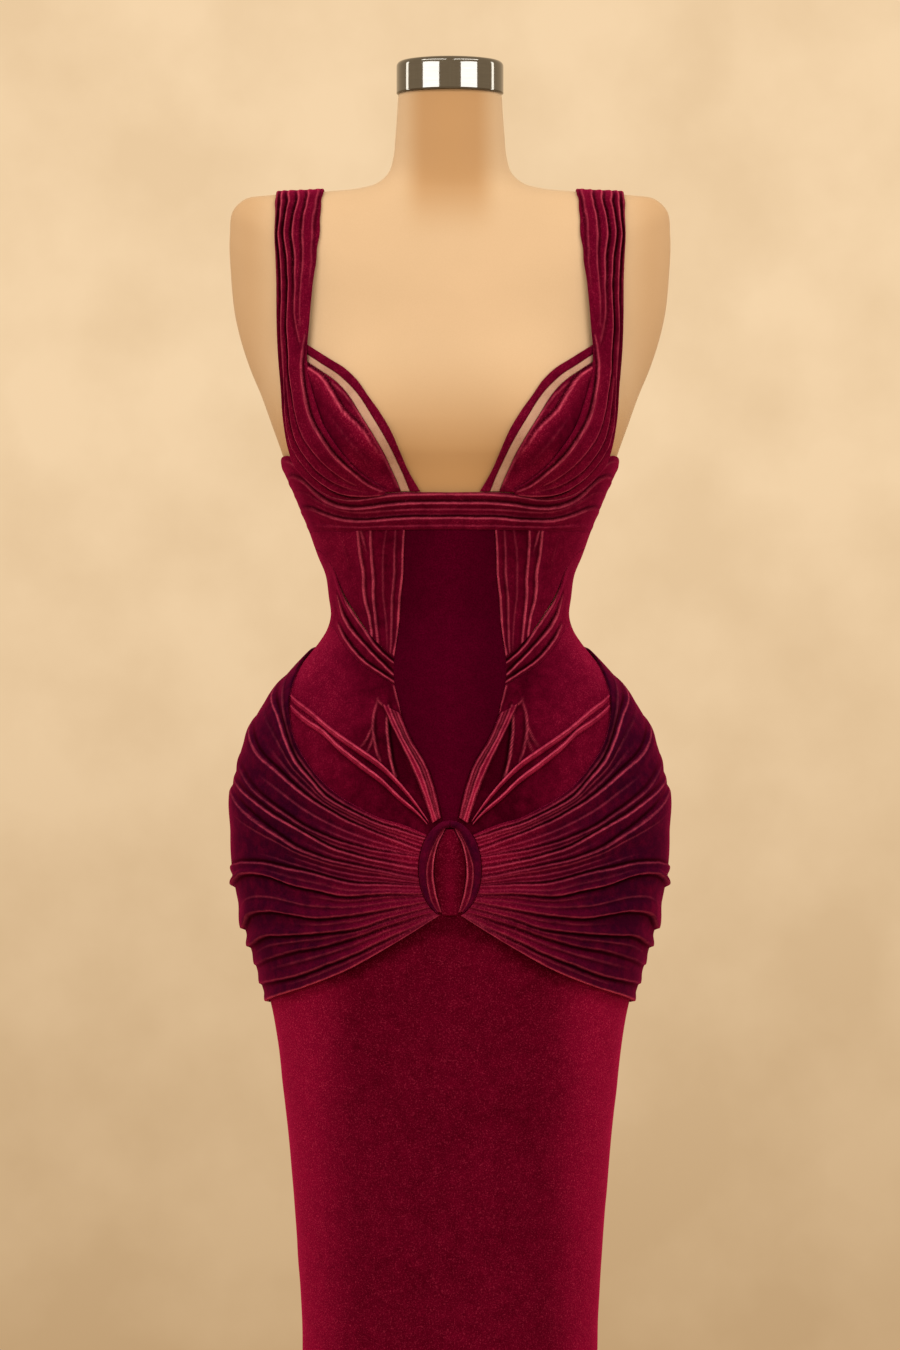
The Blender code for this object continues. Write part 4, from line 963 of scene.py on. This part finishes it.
    # folds along the strap: fractions along and across, then height, gentle width, side and painted crest
    # highlight
    table = [
        ([(0.24, 0.74), (0.28, 0.78), (0.33, 0.80), (0.40, 0.81), (0.48, 0.82), (0.56, 0.83), (0.75, 0.84),
          (1, 0.84)], (0.4, 1.8, 2.4, 2.2, 2.2, 2, 1.6), (4, 6, 7), -1, 1),
        ([(0.06, 0.42), (0.10, 0.40), (0.15, 0.44), (0.20, 0.44), (0.26, 0.50), (0.31, 0.57), (0.40, 0.63),
          (0.48, 0.66), (0.56, 0.67), (0.75, 0.65), (1, 0.62)], (0.6, 2, 2.6, 2.6, 2.4, 2.2, 1.6),
         (7, 8, 7), -1, 1),
        ([(0.27, 0.20), (0.31, 0.36), (0.35, 0.43), (0.42, 0.46), (0.49, 0.46), (0.56, 0.45), (0.75, 0.42),
          (1, 0.40)], (0.6, 2, 2.4, 2.2, 2.2, 2, 1.6), (4, 5, 6), -1, 1),
        ([(0.29, 0.20), (0.33, 0.27), (0.39, 0.28), (0.49, 0.26), (0.56, 0.25), (0.75, 0.22), (1, 0.20)],
         (0.4, 1.6, 2.2, 2.2, 2, 1.4), (3, 4, 5), -1, 0.9),
        ([(0.02, 0.80), (0.06, 0.82), (0.11, 0.78), (0.15, 0.77), (0.20, 0.79), (0.26, 0.75), (0.31, 0.76)],
         (0.8, 2.2, 2.4, 2.2, 1.2, 0.2), (6, 7, 4), -1, 1),
        ([(0.02, 0.35), (0.06, 0.16), (0.11, 0.14), (0.17, 0.16), (0.23, 0.13), (0.27, 0.08)],
         (0.8, 2, 2.4, 2, 0.8), (5, 6, 4), 1, 0.8),
        ([(0.04, 0.60), (0.09, 0.62), (0.14, 0.62), (0.19, 0.62), (0.25, 0.64)], (0.2, 1.4, 1.6, 0.4),
         (4, 5, 3), -1, 0.7),
        ([(0.36, 0.94), (0.46, 0.95), (0.56, 0.94), (0.8, 0.94)], (0.2, 1.4, 1.4, 0.3), (3, 4, 3), -1, 0.7),
        ([(0.34, 0.10), (0.42, 0.12), (0.50, 0.10), (0.60, 0.10), (0.8, 0.09)], (0.2, 1.4, 1.6, 1.2, 0.3),
         (3, 4, 3), 1, 0.7),
    ]
    for pairs, tall, soft, side, crest_highlight in table:
        folds.append(fold(thread(first, last, pairs, 140), tall, soft, 1.8, side, 1.35 * crest_highlight))
    on_cup = OVER + 1.0
    base = on_cup + (0.5 - on_cup) * ease((steps - 0.30) / 0.12)
    place = loft(first, last, spread(50, 42))
    quiet = 1.0 - 0.75 * np.exp(-((steps[:, None] - 0.535) / 0.055) ** 2)
    # painted shade: the strap darkens towards its outer edge
    cloth("strap", draw_in(place), base[:, None], CRIMSON, folds, wall=1.6,
          tone=lambda p: 0.5 - 0.12 * ease((np.abs(p[..., 0]) - 143) / 14), rough=0.1, calm=quiet)


# Sash lines from the oval to the side seam
# turn on the oval, points as x and z from the front, angle and height before the side seam,
# height at the seam and at the middle of the back
SASH_LINES = {
    "top": (46.2, [(45, 896), (63, 901), (84, 911), (104, 923), (121, 938), (132, 952), (143, 971),
                   (148, 989), (149.5, 1010)], 78, 1034, 1048, 1061),
    "one": (52.8, [(48, 890), (70, 897), (91, 907), (112, 919), (126, 934), (140, 950), (150, 969),
                   (158, 991)], 82, 1009, 1018, 1020),
    "two": (68, [(60, 884), (93.5, 898), (112, 908), (131, 920), (155, 939.5), (175, 956)], 80, 972, 981,
            990),
    "three": (77, [(63, 870), (100, 879), (137, 895), (154.5, 906), (179, 923.5)], 78, 940, 951, 958),
    "four": (90, [(56, 860), (83.5, 866), (112, 875.5), (131, 886), (154.5, 898.5), (180, 915)], 78, 926,
             934, 937),
    "five": (101.6, [(49, 850), (83.5, 857), (112, 863), (137, 872), (161, 886), (183, 900.5)], 82, 916,
             921, 912),
    "six": (111, [(56, 840), (91, 841), (119, 848), (143, 853), (176, 858.5)], 80, 856, 853, 858),
    "seven": (118.6, [(70, 833), (91, 831), (120, 836), (144, 841), (164, 848), (188, 849)], 83, 842, 839,
              838),
    "eight": (130.5, [(49, 821), (75, 816), (104.5, 812), (126, 811), (143, 814), (164.5, 816), (183, 811)],
              80, 803, 799, 806),
    "nine": (139.5, [(56, 811), (83.5, 802), (112, 798), (140, 795), (169, 792)], 76, 786, 782, 784),
    "ten": (149.4, [(49, 807), (83.5, 795), (112, 786), (140, 780), (165, 772)], 78, 767, 765, 764),
    "eleven": (155.5, [(35, 802.5), (56, 793.5), (83.5, 780), (112, 768), (140, 757)], 76, 750, 747, 744),
    "bottom": (160, [(35, 797), (63, 780), (91, 764), (132, 746)], 76, 733.5, 728.5, 725),
}
# grid rows between neighbouring lines
SASH_GAPS = [22, 26, 20, 14, 12, 42, 11, 28, 15, 16, 14, 16]
# line: heights from the oval to the side, gentle widths, steep width, side
SASH_FOLDS = {
    "one": ((2.2, 3.4, 3.6, 2.6, 1.4), (4, 9, 20), (1.3, 1.9, 9), 1),
    "two": ((2, 3, 3.6, 3.2, 1.6), (4, 8, 18), (1.3, 1.8, 9), 1),
    "three": ((1.6, 2.2, 2.2, 1.6, 1), (3.5, 7, 12), (1.2, 1.6, 7), 1),
    "four": ((2, 3, 3.2, 2.4, 1.4), (4, 6, 14), (1.3, 1.7, 7), 1),
    "five": ((2, 3.2, 4, 4, 3.6), (5, 12, 40), (1.3, 1.9, 10), 1),
    "six": ((1.6, 2.2, 2.4, 2, 2), (4, 7, 10), (1.4, 1.8, 2.4), 1),
    "seven": ((2, 3, 3.6, 4.4, 4.6), (4, 7, 8), (1.4, 1.8, 2.6), -1),
    "eight": ((1.6, 2.8, 4.2, 4.6, 4.4), (5, 12, 26), (1.4, 2, 2.8), -1),
    "nine": ((1.6, 2.6, 3.4, 4, 3.6), (4, 7, 12), (1.4, 1.8, 2.4), -1),
    "ten": ((1.6, 2.6, 2.4, 1.6, 1.6), (4, 7, 12), (1.4, 1.8, 2.4), -1),
    "eleven": ((1.4, 2.2, 2.4, 2.2, 2), (3.5, 7, 12), (1.4, 1.8, 2.4), -1),
}

# finer lines between two of the main ones: gap, place in it, how far they run and height
SASH_SECOND = [
    (0, 0.45, 1.00, 1.8), (1, 0.30, 0.97, 1.6), (1, 0.62, 0.80, 1.6), (2, 0.45, 0.75, 1.5),
    (2, 0.75, 0.45, 1.2), (3, 0.50, 0.62, 1.2), (4, 0.50, 0.50, 1.1), (5, 0.20, 0.90, 1.5),
    (5, 0.48, 0.58, 1.3), (5, 0.76, 0.72, 1), (6, 0.50, 0.70, 1.2), (7, 0.30, 0.52, 1.2),
    (7, 0.62, 0.95, 1.5), (8, 0.50, 0.60, 1.3), (9, 0.50, 0.90, 1.4), (10, 0.50, 0.80, 1.4),
    (11, 0.45, 0.75, 1.4),
]

# how bright the painted highlight on the crest of each fold is
SASH_BRIGHT = {"one": 1, "two": 0.9, "three": 0.5, "four": 0.95, "five": 0.7, "six": 0.6, "seven": 0.85,
               "eight": 0.8, "nine": 0.65, "ten": 0.45, "eleven": 0.7}
# height of each fold behind, from the side to the middle, as a share of its height at the side
SASH_BEHIND = {
    "one": (1, 0.9, 0.5, 0), "two": (1, 0.9, 0.9, 1), "three": (1, 0.6, 0, 0), "four": (1, 1, 0.6, 0.3),
    "five": (1, 0.9, 0.8, 0.9), "six": (1, 0.5, 0, 0), "seven": (1, 1, 0.8, 0.8), "eight": (1, 0.8, 0.4, 0),
    "nine": (1, 0.9, 0.9, 0.9), "ten": (1, 1.2, 0.8, 0.3), "eleven": (1, 0.8, 0.8, 0.9),
}
# how far a fold sinks or lifts between the side and the middle of the back
BACK_BOW = {"one": -5, "two": 4, "three": -6, "four": -3, "five": 6, "six": 7, "seven": -4, "eight": 6,
            "nine": -3, "ten": 3, "eleven": 2}

TWO_DEGREES = 0.0349   # in radians
# Height of the oval's middle, and half the width and height of the line round it from which the sash starts
OVAL_Z = 855.0
OVAL_WIDE = 28.6
OVAL_TALL = 44.7


def build_sash():
    """Front and back of the draped sash."""
    names = list(SASH_LINES)
    steps = np.concatenate([np.array([0, 0.0005, 0.0018, 0.0038]), np.linspace(0.008, 0.985, 104),
                            [0.9965, 0.999, 1]])
    front = []
    back = []
    behind = spread(62, 300)
    for name in names:
        turn, points, near_angle, near_z, side_z, back_z = SASH_LINES[name]
        rad = math.radians(turn)
        start = spot(OVAL_WIDE * math.sin(rad), OVAL_Z + OVAL_TALL * math.cos(rad), OVER)
        line = [start] + [spot(x, z, ON_FOLD) for x, z in points]
        line += [turn_at(near_angle, near_z), turn_at(SIDE, side_z)]
        front.append(path(line, steps))
        front[-1][0] = start
        slope = (side_z - near_z) / (SIDE - near_angle)
        reach = 5.0 if name in ("top", "bottom") else 14.0
        line = []
        for a in (0, 5, 11, 19, 30, 45, 66, 90):
            z = side_z + slope * reach * (1.0 - math.exp(-a / reach)) + (back_z - side_z) * ease(a / 90)
            line.append(turn_at(SIDE + a, z + BACK_BOW.get(name, 0) * math.sin(a * TWO_DEGREES) ** 2))
        back.append(path(line, behind))
    place = weave(front, SASH_GAPS, 20)
    folds = []
    for name, (tall, soft, steep, side) in SASH_FOLDS.items():
        bright = SASH_BRIGHT[name]
        folds.append(fold(front[names.index(name)][::2], tall, soft, steep, side,
                          tuple(bright * v for v in (0.6, 0.85, 1, 0.8, 0.5)), (0.5, 0.9, 1, 1, 1)))
    for gap, part, reach, tall in SASH_SECOND:
        line = front[gap] * (1 - part) + front[gap + 1] * part
        count = int(len(line) * reach)
        folds.append(fold(line[:count], (0.8 * tall, tall, tall, 0.8 * tall, 0), (2, 4, 6), 1.2,
                          1 if gap < 6 else -1, (0.35, 0.5, 0.45), (0.45, 0.6, 0.5)))
    # a fold just inside the lower edge carries a painted highlight line along it
    bottom = front[-2] * 0.06 + front[-1] * 0.94
    folds.append(fold(bottom, (2, 2.6, 2.8, 2.4), (5, 8, 9), 1.4, -1, 1.2, 0))
    lift = along((0.3, 1.8, 3, 3.6), steps)[:, None]
    belly = np.sin(np.pi * sash_fraction(place)) ** 0.5
    cloth("sash_front", place, OVER + lift * belly, SASH, folds,
          tone=sash_painted_light, rough=0.3)

    place = weave(back, [max(6, count // 2 + 2) for count in SASH_GAPS], 20)
    folds = []
    for name, (tall, soft, steep, side) in SASH_FOLDS.items():
        folds.append(fold(back[names.index(name)], tuple(tall[-1] * share for share in SASH_BEHIND[name]),
                          (soft[-1], soft[-1] * 0.7, soft[-1]), steep[-1], side, (0.7, 0.35, 0.25, 0.25),
                          0.8))
    lift = along((3.6, 3, 2.4), behind)[:, None]
    belly = np.sin(np.pi * sash_fraction(place)) ** 0.5
    cloth("sash_back", place, OVER + lift * belly, SASH, folds,
          tone=0.08, rough=0.3)


def sash_painted_light(points):
    """Painted light: bright sheen beside the oval, most of all above, and painted shade in dark plum towards
    the side.
    """
    x = np.abs(points[..., 0])
    tone = 0.66 - 0.60 * ease((x - 30) / 125)
    return tone + 0.36 * np.exp(-((x - 25) / 40) ** 2) * ease((points[..., 2] - 840) / 40)


def sash_fraction(place):
    """Fraction across a grid by its own width."""
    points = skin(place[..., 0], place[..., 1], OVER)
    across = np.linalg.norm(np.diff(points, axis=1), axis=2)
    run = np.concatenate([np.zeros((len(place), 1)), np.cumsum(across, axis=1)], axis=1)
    return np.clip(run / run[:, -1:], 0, 1)


def build_hips():
    """V strips, hip strips, the oval and the skirt."""
    steps = spread(60, 120)
    inner = seen([(45.5, 996), (35, 972), (22.5, 951), (14.5, 929), (8.3, 901.5)], OVER, steps)
    outer = seen([(62, 1005), (46, 970), (32, 940), (21, 911), (16, 896.5)], OVER, steps)
    folds = []
    for at, tall, side in ((0.14, 2, 1), (0.36, 1.4, 1), (0.56, 2, 1), (0.82, 2, -1)):
        line = thread(inner, outer, [(0, at), (0.35, at + 0.02), (0.7, at - 0.01), (1, at)])
        folds.append(fold(line, (0.7 * tall, tall, tall, 0.8 * tall), (3, 2.6, 1.8), 1.1, -side, 1, 0.8))
    place = draw_in(loft(inner, outer, spread(24, 12)))
    # painted light: the V strip lightens towards the oval at its lower end
    cloth("v_strip", place, OVER, STRIP, folds,
          extra_width=0.006, tone=lambda p: 0.72 - 0.5 * ease((p[..., 2] - 905) / 80), rough=0.1)

    strips = {
        "upper": [(145.5, 1013), (127, 999), (110, 984.5), (88, 969), (64, 952), (49, 937.5), (36.5, 923),
                  (25, 907), (19.8, 899)],
        "lower": [(145.5, 1003.5), (133, 993), (115.5, 981.5), (102.5, 969), (84, 954), (64, 939),
                  (45, 921), (27.5, 905), (20.6, 896.5)],
    }
    steps = spread(90, 170)
    for name, line in strips.items():
        wide = along((7.6, 7.8, 5) if name == "upper" else (7.2, 7.6, 4.6), np.linspace(0, 1, len(line)))
        wide[-2:] = (3.4, 1.8)
        top = seen(line, OVER, steps)
        low = seen([(x - 0.25 * w, z - w) for (x, z), w in zip(line, wide)], OVER, steps)
        ridge = thread(top, low, [(0, 0.3), (0.3, 0.34), (0.7, 0.3), (1, 0.4)])
        second = thread(top, low, [(0, 0.72), (0.4, 0.68), (0.8, 0.72)])
        folds = [
            fold(ridge, (0.8, 2, 2.2, 1), (4, 4.5, 2), 1.6, -1, 1, 0.2),
            fold(second, (0.2, 0.9, 0.8, 0), (2, 2, 1.5), 1, -1, 0.6, 0.3),
        ]
        place = draw_in(loft(top, low, spread(18, 7)))
        cloth("hip_strip_" + name, place, OVER, STRIP, folds,
              extra_width=0.004, tone=0.3, rough=0.1)
    build_oval()

    rows = spread(110, 860)
    heights = HEM + (HIP_SEAM - HEM) * rows
    levels = np.array([level_at(z) for z in heights])
    turns = 180.0 * spread(120, 480) - 90.0
    place = grid(turns[:, None], levels)
    cloth("skirt_front", draw_in(place, first_row=0), EASE + skirt_waves(turns, heights), SKIRT,
          mirror=False, tone=skirt_painted_light, rough=0.5)
    turns = SIDE + 90.0 * spread(60, 250)
    place = grid(turns[:, None], levels)
    cloth("skirt_back", draw_in(place, first_row=0), EASE + skirt_waves(turns, heights), SKIRT,
          tone=skirt_painted_light, rough=0.5)


# Waves of the skirt: the height where they start, the run over which they grow and half their height
WAVE_FROM = 560.0
WAVE_RUN = 520.0
WAVE_TALL = 4.2


def skirt_waves(turns, heights):
    """Soft upright troughs that grow towards the hem."""
    turn = np.radians(turns)[:, None]
    grow = ease((WAVE_FROM - heights) / WAVE_RUN)[None, :]
    wave = np.cos(9.0 * turn + 0.6 * np.cos(turn)) * 0.6 + np.cos(5.0 * turn) * 0.4
    return WAVE_TALL * grow * wave + WAVE_TALL * grow


def skirt_painted_light(points):
    """Painted sheen lighter towards the side seams and a painted shadow close under the sash."""
    tone = 0.2 + 0.62 * ease((np.abs(points[..., 0]) - 80) / 60)
    under = [(0, 806), (35, 792), (63, 776), (91, 760), (132, 742), (180, 727)]
    return tone - 0.35 * beside(np.abs(points), under, 5)


def build_oval():
    """Padded ring, ridged crescents and the middle piece of the oval."""
    turns = np.radians(np.concatenate([[0.35], np.linspace(14, 158, 9)]))
    outer = [spot(28.0 * math.sin(t), OVAL_Z + 44.0 * math.cos(t), OVER) for t in turns]
    round_line = [(12.5, 882.5), (17.5, 871), (21.2, 858), (21.6, 848), (20, 836), (16.5, 824),
                  (11.6, 816.2)]
    crescent_line = [(4.2, 891.6), (5.8, 888), (10, 879.5), (13.4, 868), (14.8, 855), (14, 843),
                     (11.8, 831), (9, 821), (7.2, 815.6)]
    steps = spread(70, 100)
    outer = path(outer, steps)
    ring = seen([(0.17, 893), (5.6, 891.4)] + round_line, OVER, steps)
    inner = seen([(4.9, 892), (7.2, 890.3)] + round_line, OVER, steps)
    crescent = seen(crescent_line, OVER, steps)
    swell = np.sin(np.pi * (0.28 + 0.60 * steps))[:, None]
    rows = spread(16, 6)
    place = draw_in(loft(outer, ring, rows), first_end=0.02)
    dome = 2.0 + swell * 4.4 * np.sin(np.pi * (0.08 + 0.84 * rows)) ** 0.7 - CLOTH
    cloth("oval_ring", place, OVER + dome, SASH, tone=0.16,
          rough=0)
    place = draw_in(loft(inner, crescent, spread(20, 6.5)), last_row=0.3)
    ridge = []
    for at, tall, side, crest_highlight in ((0.12, 1.8, -1, 0.55), (0.86, 2.4, 1, 1.2)):
        line = thread(inner, crescent, [(0, at), (0.3, at), (0.7, at), (1, at)])
        ridge.append(fold(line, (0.6, tall, tall, 0.6), (2.4, 2.8, 2.4), 0.8, side, crest_highlight, 0.2))
    cloth("oval_crescent", place, OVER, CRIMSON, ridge,
          extra_width=0.006, tone=0.42, rough=0)
    rows = 2.0 * spread(24, 28) - 1.0
    side = seen([(3.6, 891), (5.4, 887.4), (9.7, 879.3), (14, 867.5), (14.7, 855), (13.9, 843), (11.7, 831),
                 (8.9, 821), (6.9, 813)], OVER, spread(50, 72))
    place = grid(side[:, :1] * rows, side[:, 1:])
    # painted shade: the middle piece darkens towards its sides
    cloth("oval_middle", draw_in(place, first_row=0.4, last_row=0.4), OVER + 1.2 * (1 - rows ** 2), SKIRT,
          mirror=False, tone=lambda p: 0.26 - 0.3 * np.abs(p[..., 0]) / 13,
          rough=0)


# Camera, light and floor, in metres
CAMERA_AWAY = 4.9
CAMERA_HIGH = 1.031
FIELD_HIGH = 1.2555
SENSOR = 36.0


def set_camera():
    """Camera straight in front, with the photo's framing."""
    data = bpy.data.cameras.new("camera")
    data.sensor_fit = "VERTICAL"
    data.sensor_height = SENSOR
    data.lens = SENSOR * CAMERA_AWAY / FIELD_HIGH
    camera = bpy.data.objects.new("camera", data)
    camera.location = (0.0, -CAMERA_AWAY, CAMERA_HIGH)
    camera.rotation_euler = (math.radians(90.0), 0.0, 0.0)
    bpy.context.scene.collection.objects.link(camera)
    bpy.context.scene.camera = camera


def add_light(name, place, aim, wide, tall, power, colour):
    """Soft area light that points at a spot."""
    data = bpy.data.lights.new(name, "AREA")
    data.shape = "RECTANGLE"
    data.size = wide
    data.size_y = tall
    data.energy = power
    data.color = colour
    lamp = bpy.data.objects.new(name, data)
    lamp.location = place
    way = np.array(aim, float) - np.array(place, float)
    flat = math.hypot(way[0], way[1])
    lamp.rotation_euler = (math.atan2(flat, -way[2]), 0.0, math.atan2(-way[0], way[1]))
    bpy.context.scene.collection.objects.link(lamp)


WARM = (1.0, 0.95, 0.85)
WHITE = (1.0, 0.98, 0.95)
LIGHTS = [
    ("top", (1.5, -1.7, 3.8), 1.25, 2.9, 0.25, 35.0, WARM),
    ("panel", (2.0, -2.25, 1.9), 1.3, 2.0, 0.6, 23.0, WHITE),
    ("rim", (2.3, 0.6, 1.5), 1.1, 0.3, 1.8, 9.0, WARM),
]
FLOOR_HALF = 2.5
FLOOR_FADE = 1.1, 2.4   # distances between which the floor fades out


def set_world():
    """Plain pale plaster all round, darker below."""
    world = bpy.data.worlds.new("world")
    world.use_nodes = True
    nodes = Nodes(world.node_tree)
    way = nodes.add("SeparateXYZ", Vector=nodes.add("TexCoord").outputs["Generated"])
    high = nodes.ramp(way.outputs["Z"], -0.2, 0.08, curve="SMOOTHSTEP")
    wall = nodes.mix(high, (0.50, 0.32, 0.16), (0.87, 0.63, 0.38))
    plaster = nodes.add("TexNoise", Scale=34.0, Detail=5.0).outputs["Fac"]
    wall = nodes.mix(nodes.ramp(plaster, 0.36, 0.64), wall, (0.91, 0.89, 0.86), "MULTIPLY")
    wall = nodes.mix(1.0, wall, (1.053, 1.064, 1.081), "MULTIPLY")
    nodes.give(wall, world.node_tree.nodes["Background"].inputs["Color"])
    bpy.context.scene.world = world


def set_floor():
    """Pale floor that fades out before its edge."""
    mesh = bpy.data.meshes.new("floor")
    corners = [(FLOOR_HALF * x, FLOOR_HALF * y, 0) for x, y in ((-1, -1), (1, -1), (1, 1), (-1, 1))]
    mesh.from_pydata(corners, [], [(0, 1, 2, 3)])
    floor = bpy.data.objects.new("floor", mesh)
    bpy.context.scene.collection.objects.link(floor)
    material, nodes, fill_in = new_material("floor_plaster")
    cloud = nodes.noise(nodes.object_place(), 3.0, 4.0)
    reach = nodes.add("VectorMath", operation="LENGTH")
    nodes.give(nodes.object_place(), reach.inputs[0])
    fill_in({"Base Color": nodes.mix(cloud, (0.66, 0.55, 0.41), (0.69, 0.58, 0.44)), "Roughness": 0.8,
             "Alpha": nodes.ramp(reach.outputs["Value"], *FLOOR_FADE, 1.0, 0.0)})
    mesh.materials.append(material)


def set_stage():
    """Plain pale surroundings, floor and studio light."""
    bpy.context.scene.view_settings.view_transform = "Standard"
    set_world()
    set_floor()
    for name, (x, y, z), aim, wide, tall, power, colour in LIGHTS:
        for ending, way in (("_left", -1), ("_right", 1)):
            add_light(name + ending, (way * x, y, z), (0.0, 0.0, aim), wide, tall, power, colour)


set_camera()
set_stage()
build_form()
build_bodice()
build_top()
build_sash()
build_hips()
bpy.context.view_layer.update()
